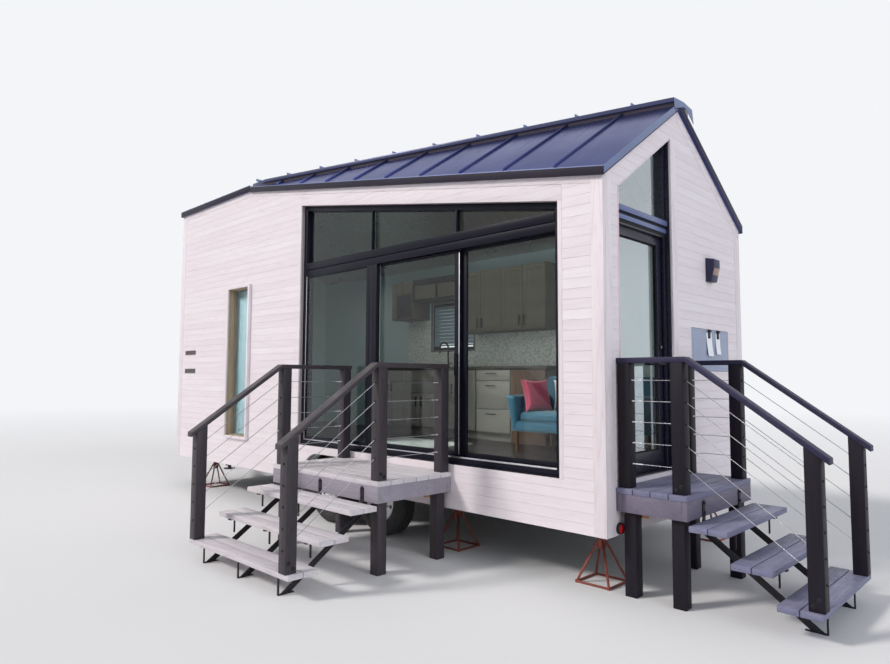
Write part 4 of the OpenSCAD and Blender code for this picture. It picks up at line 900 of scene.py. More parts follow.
def glass_front():
    """The big window's frame, its fixed panels and transom, and the sliding panel with its pull."""
    deep, shallow = (0.048, 0.15), (0.052, 0.08)
    jamb_near, jamb_far, meet = OPEN_NEAR + 0.055, OPEN_FAR - 0.055, (2.57, 2.68)
    across = (jamb_near, jamb_far)
    head = on("head", -HEAD_DROP)
    inner = on("head", -HEAD_DROP - 0.055)
    bars = [
        board((OPEN_NEAR, OPEN_FAR), deep, (FLOOR_Z, SILL_TOP), soft=0.002),
        board((OPEN_NEAR, jamb_near), deep, (SILL_TOP, 3.7), head, soft=0.002),
        board((jamb_far, OPEN_FAR), deep, (SILL_TOP, 3.7), head, soft=0.002),
        board(across, deep, (2.7, 3.7), head, inner, soft=0.002),
        board(across, (0.052, 0.15), (BAR_Z, 2.722), soft=0.003),
        board(across, (0.044, 0.15), (2.724, BAR_TOP), soft=0.003),
        board(meet, shallow, (SILL_TOP, BAR_Z), soft=0.002),
        board((meet[0], 2.60), (0.046, 0.052), (SILL_TOP, BAR_Z), soft=0.0015),
        board((OPEN_NEAR, OPEN_FAR), (0.030, 0.048), (0.770, 0.789), soft=0.002)]
    for s in (1.483, 2.65):
        bars.append(board((s - 0.007, s + 0.007), (0.044, 0.078), (BAR_TOP, 3.7), inner, soft=0.0015))
    panels = (((meet[1], jamb_far), shallow, (0.06, 0.014, 0.04, 0.014)),
              ((jamb_near, 1.49), (0.12, 0.148), (0.014, 0.06, 0.04, 0.014)))
    gaskets = []
    for s, t, width in panels:
        bars += sash(s, t, (SILL_TOP, BAR_Z), width, 0.002)
        gaskets += beads(s, t, (SILL_TOP, BAR_Z), width)
    fit(join(bars), "glass_front_frame", BLACK, slot="frame_black", replaces=("big_window_frame",))
    fit(join(gaskets), "glass_front_gaskets", GASKET, slot="frame_black")
    # The sill tracks are bare metal; the two thin bright uprights stand for glints on the panels' edges: painted
    # highlights.
    tracks = [board(s, t, z, soft=0.0008) for s, t, z in (
        (across, (0.094, 0.106), (0.834, 0.8407)), (across, (0.050, 0.053), (0.8352, 0.845)),
        ((2.555, 2.567), (0.0815, 0.0855), (0.845, 2.64)),
        ((3.797, 3.8055), (0.049, 0.0535), (0.836, 2.649)))]
    fit(join(tracks), "glass_front_tracks_and_glints", BRIGHT, slot="frame_black")
    s, t, z = (1.48, 2.64), (0.086, 0.114), (0.841, 2.644)
    pull = []
    for t0, t1 in ((0.056, 0.066), (0.128, 0.138)):
        pull.append(lump(at(1.50, t0, 1.54), at(1.52, t1, 1.74), 0.004, 3))
    for z0 in (1.555, 1.713):
        pull.append(rod(at(1.51, 0.060, z0 + 0.006), at(1.51, 0.132, z0 + 0.006), 0.006, 16))
    plate_out, plate_in = (0.0835, 0.0862), (0.1138, 0.1165)
    pull += [lump(at(1.490, t0, 1.50), at(1.530, t1, 1.78), 0.003) for t0, t1 in (plate_out, plate_in)]
    width = (0.06, 0.06, 0.04, 0.014)
    rides = ("sliding_panel", "frame_black")
    fit(join(sash(s, t, z, width, 0.002) + pull), "sliding_sash", BLACK, *rides, ("sliding_panel",))
    fit(join(beads(s, t, z, width)), "sliding_gaskets", GASKET, *rides)
    # A thin bright strip on the sliding panel's edge: painted highlight.
    fit(board((1.4795, 1.4885), plate_out, (0.86, 2.625), soft=0.0008), "sliding_edge_glint", BRIGHT, *rides)
    for name, glass in (("window_glass", GLASS), ("sliding_glass", GLASS),
                        ("entry_door_glass", SKY_REFLECTING_GLASS)):
        paint(NODES[name], glass)
    # Panes near the gable get the glass with painted sky reflection.
    second_finish(NODES["window_glass"], SKY_REFLECTING_GLASS, lambda face: face.center.x > GABLE_X - 0.3)


def tall_window():
    """Lining steps between the tall window's frame and its sash, and the blind behind the glass."""
    s, z = (4.97, 5.47), (0.785, 2.645)
    fit(join(sash(s, (-0.018, 0.018), z, 0.003, 0.0008)), "tall_window_seal", TAN_WOOD, slot="trim_wood")
    fit(join(sash(s, (0.018, 0.0605), z, 0.010, 0.0012)), "tall_window_stops", TAN_WOOD, slot="trim_wood")
    wide = (4.985, 5.455)
    blind = [board(wide, (0.1, 0.1012), (0.81, 2.60), soft=0.0004),
             board(wide, (0.098, 0.104), (0.80, 0.822), soft=0.002),
             rod(at(4.98, 0.112, 2.615), at(5.46, 0.112, 2.615), 0.016, 20)]
    fit(join(blind), "tall_window_blind", BLIND, slot="frame_black")


def entry_door():
    """The entry door's leaf and frame, the small windows' frames, and the bars over the door."""
    softened("door_frame", NAVY, slot="frame_black")
    softened("entry_door", NAVY, "entry_door", "frame_black")
    frames = softened("small_window_frames", BLACK, slot="frame_black")
    second_finish(frames, TAN_WOOD, lambda face: face.center.y < FRONT_Y + 0.2 and face.normal.y > -0.5)
    softened("door_lever", FITTING, "entry_door", "lever_black", angle=40)
    key = rod(at(0.0795, 1.035, 1.78), at(0.077, 1.035, 1.78), 0.011, 24, 0.001)
    fit(key, "door_key_plate", BRIGHT, "entry_door", "lever_black")
    glass_s, (t0, t1), (z0, z1) = 0.105, (0.329, 0.996), (0.942, 2.626)
    strips = []
    for s in (glass_s - 0.0065, glass_s + 0.0155):
        strips += [board((s, s + 0.006), t, z, soft=0.001) for t, z in (
            ((t0 - 0.001, t0 + 0.009), (z0, z1)), ((t1 - 0.009, t1 + 0.001), (z0, z1)),
            ((t0, t1), (z0 - 0.001, z0 + 0.009)), ((t0, t1), (z1 - 0.009, z1 + 0.001)))]
    fit(join(strips), "door_gaskets", GASKET, "entry_door", "frame_black")
    front, across = 0.0603, (0.2255, 1.0995)
    # The two lips over the door carry painted sky light; the other strips keep the frame's own colours.
    lips = [paint(board((s, front), t, z, under, soft=soft), finish) for s, t, z, under, soft, finish in (
        (0.050, across, (2.736, 2.772), (), 0.002, LIP_SKY_LIGHT),
        (0.040, across, (2.797, 2.841), (), 0.002, LIP_SKY_LIGHT),
        (0.0575, across, (2.711, 2.7355), (), 0.0008, GASKET),
        (0.0575, across, (2.7725, 2.7965), (), 0.0008, GASKET),
        (0.0205, (1.0975, 1.0998), (FLOOR_Z, 3.6), on("front", -HEAD_DROP - 0.001), 0.0006, NAVY),
        (0.0205, (0.2252, 0.2275), (FLOOR_Z, 3.6), on("front", -HEAD_DROP - 0.001), 0.0006, NAVY))]
    lips.append(paint(board((0.030, 0.062), (0.227, 1.098), (FLOOR_Z - 0.004, 0.7875), soft=0.002), NAVY))
    fit(join(lips), "door_head_lips", None, slot="frame_black")


# ---- fittings on the walls ----
def fittings():
    """The gable's lamp, hatch and notes, the vents, and the tail lights."""
    low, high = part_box("gable_lamp")
    softened("gable_lamp", LAMP, slot="lamp_black", width=0.004)
    run, rise = 0.036, 0.124
    face = Vector((high.x - run / 2 + 0.0012, 0, low.z + rise / 2))
    plate = lump((-0.0015, low.y + 0.008, -0.060), (0.0015, high.y - 0.008, 0.060), 0.001)
    plate.data.transform(Matrix.Translation(face) @ Matrix.Rotation(math.atan2(run, rise), 4, "Y"))
    fit(plate, "lamp_diffuser", DIFFUSER, slot="lamp_black")
    rim = 0.012
    back = lump((low.x - 0.001, low.y - rim, low.z - rim), (low.x + 0.006, high.y + rim, high.z + rim), 0.003)
    fit(back, "lamp_back_plate", LAMP, slot="lamp_black")

    hatch = face_steps(board((0.004, 0.019), HATCH_T, HATCH_Z, soft=0), lambda normal: normal.x > 0.9,
                       ((0.022, 0), (0.004, -0.003), (0.006, 0.006)))
    fit(hatch, "gable_hatch", HATCH, slot="hatch_grey", replaces=("gable_panel",))
    clips = []
    for t in (HATCH_T[0] + 0.34, HATCH_T[0] + 0.535):
        clips += [lump(at(0.003, t, 1.885), at(-0.010, t + 0.04, 1.965), 0.003),
                  lump(at(-0.008, t + 0.004, 1.945), at(-0.024, t + 0.036, 1.958), 0.003),
                  rod(at(-0.006, t + 0.002, 1.935), at(-0.006, t + 0.038, 1.935), 0.006, 12)]
    fit(join(clips), "hatch_clips", FITTING, slot="hatch_grey")
    sheets = []
    for t, wide, z0, lean in ((1.745, 0.115, 1.725, 0.010), (1.952, 0.098, 1.745, -0.008)):
        leaf = lump(at(-0.0006, t, z0), at(0.0002, t + wide, 1.935), 0)
        edit(leaf)
        bpy.ops.mesh.subdivide(number_cuts=9)
        done()
        for v in leaf.data.vertices:
            # The note curls away from the hatch towards its foot
            drop = max(0.0, (1.935 - v.co.z) / 0.2)
            v.co.x += 0.014 * drop * drop
            v.co.y += lean * drop
        sheets.append(leaf)
    fit(join(sheets), "blank_notes", PAPER, slot="hatch_grey")

    slats = []
    wide, near, far, frame = (6.432, 6.758), (6.432, 6.44), (6.75, 6.758), (0.001, 0.012)
    for z0 in VENTS_Z:
        slats += [board(s, t, (z0 + foot, z0 + head)) for s, t, foot, head in (
            (wide, frame, 0.001, 0.009), (wide, frame, 0.056, 0.064), (near, frame, 0.009, 0.056),
            (far, frame, 0.009, 0.056), (wide, (0.014, 0.019), 0.001, 0.064))]
        for k in range(4):
            slat = lump((-0.155, -0.007, -0.0012), (0.155, 0.007, 0.0012), 0.0006)
            place = Matrix.Translation(at(6.595, 0.0085, z0 + 0.015 + 0.0115 * k))
            slat.data.transform(place @ Matrix.Rotation(0.75, 4, "X"))
            slats.append(slat)
    fit(join(slats), "vent_louvres", VENT_GREY, slot="vent_grey", replaces=("vents",))

    lights = []
    ring = [(0.030, 0.0), (0.041, 0.0), (0.041, 0.036), (0.037, 0.040), (0.034, 0.040), (0.034, 0.030)]
    lens = [(0.0345, 0.024), (0.0345, 0.038)]
    for k in range(5):
        r = 0.033 - k * 0.006
        lens += [(r, 0.0405), (r - 0.003, 0.039)]
    for t in (0.17, WIDTH - 0.17):
        place = facing(at(0.018, t, 0.459), (1, 0, 0))
        lights += [paint(turned(ring, 40, place), FITTING), paint(turned(lens, 40, place), LENS)]
    fit(join(lights), "tail_light_lenses", None, slot="lens_red", replaces=("tail_lights",))


# ---- underneath ----
def around(radius, count, turn=0.0):
    """Points on a circle, even steps apart."""
    angles = [math.tau * (k + turn) / count for k in range(count)]
    return [(radius * math.cos(a), radius * math.sin(a)) for a in angles]


def wheels():
    """One tyre and one rim with its hand holes, hub and bolts, copied to the four wheels."""
    tread = [(0.330, 0.036)]
    for z in (0.062, 0.088, 0.114, 0.140):
        tread += [(0.330, z - 0.004), (0.322, z - 0.002), (0.322, z + 0.004), (0.330, z + 0.006)]
    side = [(0.196, 0.014), (0.204, 0.006), (0.220, 0.006), (0.224, 0.002), (0.250, 0.0), (0.272, 0.001),
            (0.276, 0.004), (0.296, 0.006), (0.312, 0.014), (0.324, 0.026)]
    profile = side + tread + [(0.330, 0.164)] + [(r, 0.2 - z) for r, z in reversed(side)] + [side[0]]
    tyre = turned(profile, 72)
    rim = turned([(0.1965, 0.014), (0.1965, 0.186), (0.188, 0.186), (0.174, 0.072), (0.060, 0.064),
                  (0.0605, 0.050), (0.090, 0.046), (0.150, 0.050), (0.166, 0.044), (0.182, 0.020),
                  (0.188, 0.012), (0.1965, 0.014)], 72)
    take_away(rim, join([rod((x, y, 0.0), (x, y, 0.12), 0.019, 20) for x, y in around(0.128, 8, 0.5)]))
    hub = turned([(0.060, 0.060), (0.059, 0.030), (0.050, 0.018), (0.030, 0.013), (0.010, 0.012)], 40)
    parts = [paint(rim, RIM_STEEL), paint(hub, RIM_STEEL)]
    for x, y in around(0.085, 5):
        parts.append(paint(rod((x, y, 0.058), (x, y, 0.030), 0.0115, 6, 0.0015), BRIGHT))
    rim = join(parts)
    names, moves = [], []
    for side_name, t, way in (("front", WHEEL_T, 1), ("back", WIDTH - WHEEL_T, -1)):
        for end_name, s in zip(("near", "far"), AXLES_S):
            names.append(f"wheel_{side_name}_{end_name}")
            moves.append(facing(at(s, t, HUB_Z), (0, way, 0)))
    for name, a, b in zip(names, copies(tyre, moves), copies(rim, moves)):
        fit(a, name + "_tyre", TYRE, name, "tyre_black", (name,))
        fit(b, name + "_rim", None, name, "tyre_black")


def chassis():
    """The trailer's own nodes, and the finishes of the plain walls and floor."""
    for name in ("trailer_frame", "trailer_tongue"):
        softened(name, TRAILER, slot="trailer_paint", width=0.002)
    softened("axles", TRAILER, slot="axle_steel", width=0.001)
    softened("jack_stands", RUST, slot="jack_rust", width=0)
    for name in NODES:
        if "wall" in name:
            paint(NODES[name], LINING)
    underside = painted("floor deck underside", (0.06, 0.05, 0.045), (0.045, 0.04, 0.036), (0.6, 0.8))
    paint(NODES["floor_deck"], underside)


# ---- stoops ----
def side_place(x, y, z):
    return at(1.495 + x, -y, z)


def end_place(x, y, z):
    return at(-y, 1.272 - x, z)


def stoop(name, tone, place, width, depth, top, straps, finishes):
    """A platform with boards, rim, legs, posts, rails, cables and a stair on steel stringers."""
    deck, rim_finish, rail_finish, post_finish = finishes
    going, board_t, rim_h, post, inset, gap = 0.262, 0.038, 0.127, 0.089, 0.020, 0.006
    rise = top / 4
    slope = rise / going
    count = round(depth / 0.14)
    pitch = (depth + gap) / count
    half = (going - 0.012 - 0.008) / 2
    steps = [(depth + (k - 1) * going + 0.008 + j * (half + gap), top - k * rise)
             for k in (1, 2, 3) for j in (0, 1)]
    over = (-0.004, width + 0.004)

    def box(x, y, z, soft=0.003):
        return lump(place(x[0], y[0], z[0]), place(x[1], y[1], z[1]), soft)

    z0, z1 = top - board_t - rim_h, top - board_t
    boards = [box(over, (k * pitch, (k + 1) * pitch - gap), (z1, top)) for k in range(count)]
    fit(join(boards), name + "_deck_boards", deck, slot="deck_" + tone, replaces=(name + "_deck",))
    between = (board_t, depth - board_t)
    frame_boards = [box((0, width), y, (z0, z1)) for y in ((0, board_t), (depth - board_t, depth))]
    frame_boards += [box(x, between, (z0, z1)) for x in ((0, board_t), (width - board_t, width))]
    frame_boards += [box((x, x + board_t), between, (z0 + 0.004, z1)) for x in (width * 0.36, width * 0.64)]
    fit(join(frame_boards), name + "_rim_boards", rim_finish, slot="rim_" + tone, replaces=(name + "_frame",))
    legs = [box((x, x + post), (y, y + post), (0, z1))
            for x in (board_t, width - board_t - post) for y in (board_t, depth - board_t - post)]
    fit(join(legs), name + "_legs", post_finish, slot="rim_" + tone)
    ledger = [box((0.135, width - 0.135), (0.0, board_t), (z0 - 0.062, z0 - 0.002))]
    ledger += [box((x, x + board_t), (board_t, 0.16), (z0 - 0.05, z0 - 0.002))
               for x in (0.135, width - 0.173)]
    fit(join(ledger), name + "_ledger", BARE_WOOD, slot="rim_" + tone)
    softened(name + "_posts", post_finish, slot="post_dark", width=0.003)
    softened(name + "_rails", rail_finish, slot="post_dark", width=0.0035)
    softened(name + "_stringers", STRINGER, slot="stringer_black", width=0.0012)
    treads = [box(over, (y, y + half), (z - board_t, z)) for y, z in steps]
    fit(join(treads), name + "_tread_boards", deck, slot="deck_" + tone, replaces=(name + "_treads",))

    # Screws, bolts and cable fittings, each modelled once
    out = place(0, 1, 0) - place(0, 0, 0)
    across = place(1, 0, 0) - place(0, 0, 0)
    screw = turned([(0.0042, -0.002), (0.0042, 0.0004), (0.0030, 0.0008), (0.0018, 0.0001)], 8)
    spots = []
    for k in range(count):
        for x in (0.020, width / 2, width - 0.020):
            spots += [Matrix.Translation(place(x, k * pitch + y, top)) for y in (0.03, pitch - 0.036)]
    for y, z in steps:
        for x in straps:
            spots += [Matrix.Translation(place(x, y + dy, z)) for dy in (0.03, half - 0.03)]
    fit(join(copies(screw, spots)), name + "_screws", FITTING, slot="post_dark")
    washer = turned([(0.015, 0.0), (0.015, 0.002), (0.013, 0.0026)], 16)
    head = join([washer, turned([(0.0105, 0.002), (0.0105, 0.0075), (0.0088, 0.009)], 6)])
    bolts = []
    for x in straps:
        bolts += [facing(place(x, depth + 0.008, z1 - z), out) for z in (0.032, 0.098)]
    posts = ((depth + 3 * going - post, top - 3 * rise, ((0.028, 0.035), (0.062, 0.075))),
             (depth - inset - post, top, ((0.028, 0.030), (0.062, 0.055))))
    for x, way in ((inset, -1), (width - inset, 1)):
        for y0, foot, offsets in posts:
            bolts += [facing(place(x, y0 + y, foot + z), across * way) for y, z in offsets]
    plates = [box((x - 0.013, x + 0.013), (depth + 0.004, depth + 0.0085), (z1 - 0.125, z1 - 0.012), 0.001)
              for x in straps]
    fit(join(copies(head, bolts) + plates), name + "_bolts", FITTING, slot="stringer_black")

    y0, y1, y2, y3 = inset / 2 + post, depth - inset - post, depth - inset, depth + 3 * going
    sleeve = [(0.0030, 0.0), (0.0062, 0.0), (0.0062, 0.006), (0.0048, 0.008), (0.0048, 0.072),
              (0.0028, 0.078)]
    cap = [(0.0105, 0.0), (0.0105, 0.0016), (0.0068, 0.002), (0.0068, 0.005), (0.004, 0.0075)]
    turns, nuts = [], []
    for x in (inset + post / 2, width - inset - post / 2):
        for k in range(5):
            z = top + 0.170 + k * 0.147
            turns.append(facing(place(x, y0, z), out))
            nuts += [facing(place(x, y1, z), -out), facing(place(x, y2, z), out),
                     facing(place(x, y3, z - slope * (y3 - y2)), out)]
    fit(join(copies(turned(sleeve, 12), turns)), name + "_cable_sleeves", SLEEVE, slot="cable_steel")
    fit(join(copies(turned(cap, 12), nuts)), name + "_cable_caps", FITTING, slot="cable_steel")
    softened(name + "_cables", CABLE, slot="cable_steel", width=0)


# ---- the room ----
def handle(s, t, z, length, upright=True):
    """A square bar pull on two short posts, in front of a face at t."""
    half = length / 2
    if upright:
        return [lump(at(s - 0.006, t - 0.034, z - half), at(s + 0.006, t - 0.024, z + half), 0.002)] + [
            rod(at(s, t - 0.026, z + dz), at(s, t, z + dz), 0.004, 10) for dz in (-half + 0.02, half - 0.02)]
    return [lump(at(s - half, t - 0.034, z - 0.006), at(s + half, t - 0.024, z + 0.006), 0.002)] + [
        rod(at(s + ds, t - 0.026, z), at(s + ds, t, z), 0.004, 10) for ds in (-half + 0.02, half - 0.02)]


def front_panel(s, z, t, frame=0.055):
    """A cabinet front with a raised frame, its face at t."""
    panel = lump(at(s[0], t, z[0]), at(s[1], t + 0.018, z[1]), 0)
    return face_steps(panel, lambda normal: normal.y < -0.9, ((frame, 0), (0.003, -0.006)) if frame else ())


def kitchen():
    """Fronts and pulls of the cabinets, shelf, splash tiles, blind, blank board, faucet and sink rim."""
    face, foot, head, pull = 1.842, 0.886, 1.612, 0.13
    fronts, pulls = [], []
    for z in ((1.494, 1.612), (1.160, 1.482), (0.886, 1.148)):
        fronts.append(front_panel((2.326, 2.846), z, face, 0.0))
        pulls += handle(2.595, face, z[1] - 0.05 if z[1] < 1.5 else 1.575, 0.15, False)
    for s in ((2.858, 3.19), (3.202, 3.536)):
        fronts.append(front_panel(s, (foot, head), face))
    for s in ((3.548, 3.828), (3.840, 4.120)):
        fronts.append(front_panel(s, (foot, 1.31), face))
    fronts.append(front_panel((3.548, 4.120), (1.322, head), face, 0.0))
    fronts += [front_panel(s, (foot, head), face) for s in ((4.132, 4.40), (4.412, 4.69))]
    for s, z in ((3.16, 1.38), (3.232, 1.38), (3.783, 1.21), (3.876, 1.21), (4.37, 1.40), (4.442, 1.40)):
        pulls += handle(s, face, z, pull)
    fit(join(fronts), "kitchen_fronts", CABINET, slot="cabinet_grey")
    softened("kitchen_base", CABINET, slot="cabinet_grey", width=0.002)
    end = board((1.826, 2.314), (face, 1.8595), (0.782, 1.616), soft=0.002)
    fit(end, "kitchen_end_panel", END_PANEL, slot="cabinet_grey")
    softened("kitchen_top", TOP, slot="counter_dark", width=0.004)
    upper = 2.12 - 0.018
    uppers = [front_panel((s, s + 0.327), (2.106, 2.874), upper) for s in (2.006, 2.339, 2.672, 3.005)]
    uppers += [front_panel((s, s + 0.208), (2.346, 2.874), upper, 0.045) for s in (4.266, 4.486)]
    for s, z in ((2.30, 2.21), (2.372, 2.21), (2.965, 2.21), (3.037, 2.21), (4.445, 2.45), (4.515, 2.45)):
        pulls += handle(s, upper, z, pull)
    fit(join(uppers), "upper_doors", OLIVE, slot="cabinet_olive")
    softened("kitchen_upper", OLIVE, slot="cabinet_olive", width=0.002)
    fit(join(pulls), "kitchen_pulls", FITTING, slot="lever_black")
    shelf = [board((3.34, 4.26), (2.098, 2.12), z, soft=0.002) for z in ((2.58, 2.604), (2.80, 2.88))]
    shelf += [board((s, s + 0.02), (2.098, 2.12), (2.604, 2.80), soft=0.002) for s in (3.34, 3.79, 4.24)]
    fit(join(shelf), "shelf_front", BOARD_BLACK, slot="cabinet_olive")
    splash = [board(s, (2.431, 2.4395), z, soft=0.001) for s, z in (
        ((1.8, 3.395), (1.66, 2.10)), ((3.395, 4.205), (1.66, 1.895)), ((4.205, 4.7), (1.66, 2.34)))]
    fit(join(splash), "splash_tiles", TILES, slot="cabinet_grey")
    reveal = sash((3.38, 4.22), (2.425, 2.44), (1.88, 2.575), 0.022)
    slat = board((3.425, 4.175), (2.452, 2.458), (1.99, 2.036), soft=0.002)
    repeat(slat, 11, (0, 0, 0.048))
    blind = [slat, board((3.42, 4.18), (2.445, 2.462), (1.962, 1.984), soft=0.004)]
    blind += [rod(at(s, 2.449, 1.975), at(s, 2.449, 2.53), 0.0012, 8) for s in (3.56, 4.04)]
    fit(join(blind), "window_blind", BLIND, slot="cabinet_grey")
    fit(join(reveal), "window_reveal", CABINET, slot="cabinet_grey")
    sign = [paint(lump(at(4.275, 2.090, 2.36), at(4.585, 2.098, 2.69), 0.001), BOARD_BLACK)]
    sign += [paint(piece, END_PANEL) for piece in sash((4.265, 4.595), (2.086, 2.101), (2.35, 2.70), 0.016)]
    fit(join(sign), "blank_board", None, slot="cabinet_olive")
    softened("faucet", FITTING, slot="lever_black", width=0)
    sink = board((3.50, 4.05), (1.93, 2.28), (1.6595, 1.663), soft=0.001)
    take_away(sink, lump(at(3.515, 1.945, 1.64), at(4.035, 2.265, 1.67), 0.0))
    fit(sink, "sink_rim", BRIGHT, slot="lever_black")


def stuffed(piece, voxel, reach, pressure=4.0, frames=20):
    """A filled skin: remeshed, swollen by air pressure, and held within reach of where each point began."""
    piece.data.remesh_voxel_size = voxel
    pick(piece)
    bpy.ops.object.voxel_remesh()
    start = [v.co.copy() for v in piece.data.vertices]
    skin = piece.modifiers.new("filling", "CLOTH")
    skin.settings.use_pressure = True
    skin.settings.uniform_pressure_force = pressure
    skin.settings.effector_weights.gravity = 0
    skin.settings.tension_stiffness = 25
    skin.point_cache.frame_start, skin.point_cache.frame_end = 1, frames
    for number in range(1, frames + 1):
        bpy.context.scene.frame_set(number)
    pick(piece)
    bpy.ops.object.modifier_apply(modifier=skin.name)
    bpy.context.scene.frame_set(1)
    for v, was in zip(piece.data.vertices, start):
        step = v.co - was
        if step.length > reach:
            v.co = was + step * (reach / step.length)
    smooth = piece.modifiers.new("smooth", "SUBSURF")
    smooth.levels = smooth.render_levels = 1
    pick(piece)
    bpy.ops.object.modifier_apply(modifier=smooth.name)
    return piece


def pillow_form(width, thick):
    """A square pillow before filling, thin at its rim and drawn in between its corners."""
    form = lump((-width / 2, -thick / 2, -width / 2), (width / 2, thick / 2, width / 2), 0)
    edit(form)
    bpy.ops.mesh.subdivide(number_cuts=11)
    done()
    half = width / 2
    for v in form.data.vertices:
        u, w = v.co.x / half, v.co.z / half
        rim = (1 - u * u) * (1 - w * w)
        v.co.y *= 0.16 + 0.84 * rim ** 0.45
        v.co.x *= 1 - 0.07 * (1 - w * w)
        v.co.z *= 1 - 0.07 * (1 - u * u)
    return form


def sofa():
    low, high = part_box("sofa")
    x0, x1, y0, y1 = low.x, high.x, low.y, high.y
    foot, seat, arm, back = FLOOR_Z + 0.21, FLOOR_Z + 0.41, FLOOR_Z + 0.57, FLOOR_Z + 0.76
    base = lump((x0 + 0.05, y0 + 0.03, foot), (x1 - 0.05, y1 - 0.02, seat - 0.10), 0.025, 4)
    rear = lump((x0 + 0.04, y1 - 0.15, foot + 0.02), (x1 - 0.04, y1, back), 0)
    cut(rear, Vector((0, y1 - 0.09, back)), Vector((0, -1, 0.22)), "below")
    ease(rear, 0.035, 5)
    arms = []
    for x, way in ((x0, -1), (x1, 1)):
        left, right = x - (0.13 if way > 0 else 0), x + (0.13 if way < 0 else 0)
        side = lump((left, y0, foot + 0.005), (right, y1 - 0.02, arm), 0)
        cut(side, Vector((x - way * 0.065, y0, foot)), Vector((way, 0, -0.18)), "below")
        cut(side, Vector((x, y0 + 0.03, foot + 0.02)), Vector((0, -1, -0.10)), "below")
        arms.append(ease(side, 0.032, 5))
    fit(join([base, rear] + arms), "sofa_body", TEAL, slot="sofa_teal", replaces=("sofa",))
    form = lump((x0 + 0.135, y0 + 0.035, seat - 0.095), (x1 - 0.135, y1 - 0.155, seat - 0.012), 0.03, 4)
    cushion = stuffed(form, 0.009, 0.016)
    fit(cushion, "sofa_seat_cushion", TEAL, slot="sofa_teal", angle=60)
    piping = []
    for x in (x0 + 0.012, x1 - 0.012):
        piping.append(rod((x, y0 + 0.04, arm - 0.028), (x, y1 - 0.17, arm - 0.028), 0.005, 10))
    piping.append(rod((x0 + 0.15, y0 + 0.032, seat - 0.098), (x1 - 0.15, y0 + 0.032, seat - 0.098),
                      0.005, 10))
    fit(join(piping), "sofa_piping", TEAL, slot="sofa_teal")
    leg = turned([(0.012, 0.0), (0.014, 0.004), (0.023, 0.205), (0.024, 0.214)], 24)
    legs = copies(leg, [Vector((x, y, FLOOR_Z))
                        for x in (x0 + 0.09, x1 - 0.09) for y in (y0 + 0.08, y1 - 0.08)])
    fit(join(legs), "sofa_legs", LEG_WOOD, slot="sofa_teal")
    low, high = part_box("sofa_pillows")
    wide = 0.345
    # The red one leans on the far arm and the white one on the back
    for name, finish, x, y, face, lean, roll in (
            ("red_pillow", RED, low.x + 0.095, low.y + 0.19, 1.32, 0.27, 0.0),
            ("white_pillow", WHITE_CLOTH, low.x + 0.26, high.y - 0.09, 0.0, 0.28, -0.2)):
        form = stuffed(pillow_form(wide, 0.085), 0.0055, 0.014)
        turn = Matrix.Rotation(face, 4, "Z") @ Matrix.Rotation(-lean, 4, "X") @ Matrix.Rotation(roll, 4, "Y")
        form.data.transform(Matrix.Translation((x, y, seat + wide / 2)) @ turn)
        lowest = min(v.co.z for v in form.data.vertices)
        form.data.transform(Matrix.Translation((0, 0, seat + 0.002 - lowest)))
        stands_for = ("sofa_pillows",) if name == "red_pillow" else ()
        fit(form, name, finish, slot="pillow_cloth", replaces=stands_for, angle=60)


def floor_and_mat():
    plank = board((0.16, 6.79), (0.151, 0.3285), (0.770, 0.7815), soft=0.0015, rounds=1)
    repeat(plank, 13, (0, 0.18, 0))
    take_away(plank, lump(at(0, WIDTH - 0.151, 0.7), at(LENGTH, WIDTH + 0.3, 0.9), 0))
    fit(plank, "floor_planks", FLOOR_WOOD, slot="floor_board")
    wide, long = 0.70, 1.00
    pick()
    bpy.ops.mesh.primitive_grid_add(x_subdivisions=96, y_subdivisions=40, size=1)
    mat = bpy.context.active_object
    mat.scale = (long, wide, 1)
    settle(mat)
    mat.data.transform(Matrix.Translation(at(3.0, 1.05, 0.7865)))
    for v in mat.data.vertices:
        v.co.z += 0.0012 * math.sin((v.co.x - GABLE_X) * math.tau / 0.05) + 0.0006 * math.sin(v.co.y * 9.0)
    thick = mat.modifiers.new("thick", "SOLIDIFY")
    thick.thickness = 0.006
    thick.offset = 0
    pick(mat)
    bpy.ops.object.modifier_apply(modifier=thick.name)
    fit(mat, "ribbed_mat", MAT_CLOTH, slot="sofa_teal", angle=60)


# ---- studio ----
BACKDROP = (0.90, 0.915, 0.94)


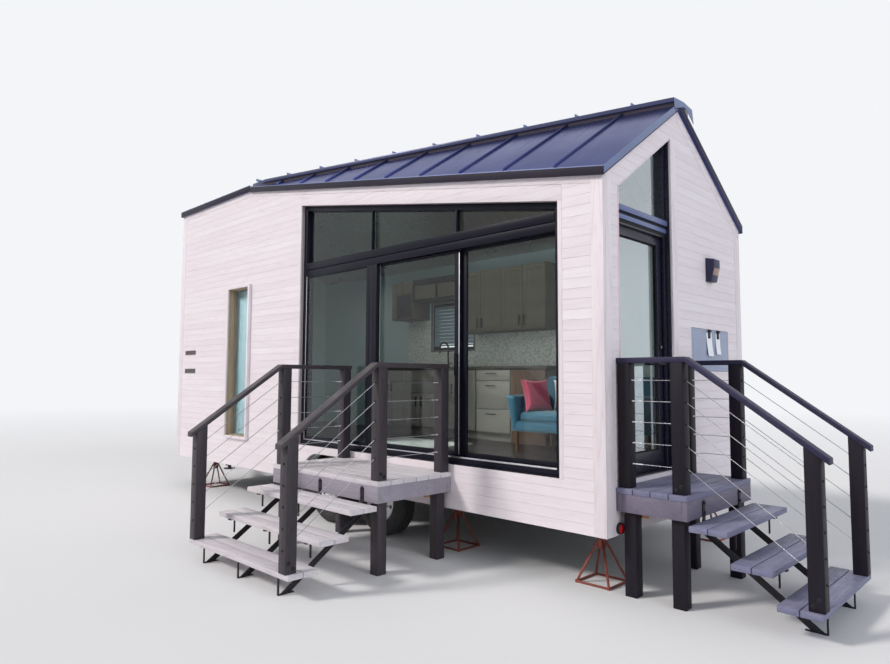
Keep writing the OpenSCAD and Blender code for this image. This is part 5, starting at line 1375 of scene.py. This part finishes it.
def studio():
    scene = bpy.context.scene
    scene.view_settings.view_transform = "Standard"
    pick()
    bpy.ops.mesh.primitive_plane_add(size=120, location=(0, 0, 0))
    ground = bpy.context.active_object
    ground.name = "studio_floor"
    finish, tree, sockets = new_finish("pale studio floor", 0.9)
    tone = mix(tree, noise(tree, here(tree), 0.6, 3.0), (0.74, 0.735, 0.73), (0.76, 0.755, 0.75))
    link_or_set(tree, sockets["Base Color"], tone)

    def seen(tree):
        path = node(tree, "LightPath").outputs
        bent = maths(tree, "MAXIMUM", path["Is Glossy Ray"], path["Is Transmission Ray"])
        return maths(tree, "MAXIMUM", path["Is Camera Ray"], bent)

    # The floor passes into the backdrop far from the house
    far = node(tree, "VectorMath", {0: here(tree)}, operation="LENGTH").outputs["Value"]
    away = ramp(tree, far, 8.0, 30.0)
    haze = node(tree, "Emission", {"Color": BACKDROP, "Strength": 1.0}).outputs[0]
    share = maths(tree, "MULTIPLY", away, seen(tree))
    both = node(tree, "MixShader", {0: share, 1: tree.nodes["Principled BSDF"].outputs[0], 2: haze})
    tree.links.new(both.outputs[0], tree.nodes["Material Output"].inputs["Surface"])
    paint(settle(ground), finish)

    world = bpy.data.worlds.new("studio light")
    scene.world = world
    world.use_nodes = True
    tree = world.node_tree
    around = node(tree, "Background", {"Color": (0.94, 0.97, 1.04), "Strength": 0.52}).outputs[0]
    backdrop = node(tree, "Background", {"Color": BACKDROP, "Strength": 1.0}).outputs[0]
    both = node(tree, "MixShader", {0: seen(tree), 1: around, 2: backdrop})
    tree.links.new(both.outputs[0], tree.nodes["World Output"].inputs["Surface"])

    def lamp(name, kind, toward, energy, colour, **shape):
        data = bpy.data.lights.new(name, kind)
        data.energy, data.color = energy, colour
        for key, value in shape.items():
            setattr(data, key, value)
        light = bpy.data.objects.new(name, data)
        scene.collection.objects.link(light)
        light.rotation_mode = "QUATERNION"
        light.rotation_quaternion = Vector(toward).to_track_quat("-Z", "Y")
        return light

    lamp("key light", "SUN", (0.45, 0.80, -0.72), 2.05, (1.0, 0.955, 0.93), angle=math.radians(10))
    lamp("fill light", "SUN", (-0.85, 0.10, -0.35), 0.95, (0.82, 0.90, 1.0), angle=math.radians(40))
    room = lamp("room light", "AREA", (0, 0, -1), 11.0, (1.0, 0.96, 0.90), shape="RECTANGLE",
                size=5.2, size_y=1.4)
    room.location = at(3.0, 1.35, 2.98)
    room.visible_camera = room.visible_glossy = room.visible_transmission = False


def camera():
    yaw, pitch, roll = (math.radians(a) for a in (134.355, 4.042, 0.235))
    ahead = Vector((math.cos(yaw) * math.cos(pitch), math.sin(yaw) * math.cos(pitch), math.sin(pitch)))
    right = Vector((math.sin(yaw), -math.cos(yaw), 0))
    up = right.cross(ahead)
    side = right * math.cos(roll) + up * math.sin(roll)
    top = up * math.cos(roll) - right * math.sin(roll)
    data = bpy.data.cameras.new("view")
    data.lens, data.sensor_width, data.sensor_fit = 26.40, 36.0, "HORIZONTAL"
    data.clip_end = 400
    view = bpy.data.objects.new("view", data)
    bpy.context.scene.collection.objects.link(view)
    turn = Matrix((side, top, -ahead)).transposed().to_4x4()
    view.matrix_world = Matrix.Translation((5.7864, -4.5603, 1.5175)) @ turn
    bpy.context.scene.camera = view


siding()
trim_boards()
roof()
glass_front()
tall_window()
entry_door()
fittings()
wheels()
chassis()
# The front stoop's deck and rim carry painted sunlight.
stoop("side_stoop", "front", side_place, 1.5, 0.81, 0.72, (0.185, 0.75, 1.315),
      (DECK_FRONT_SUNLIT, RIM_FRONT_SUNLIT, RAIL_Y, POST))
# The entry stoop takes the darker copies of the stains: painted shade.
stoop("end_stoop", "entry", end_place, 1.14, 0.515, 0.75, (0.25, 0.89),
      (DECK_ENTRY_SHADE, RIM_ENTRY_SHADE, RAIL_X_SHADE, POST_ENTRY_SHADE))
kitchen()
sofa()
floor_and_mat()
studio()
camera()

bpy.context.view_layer.update()
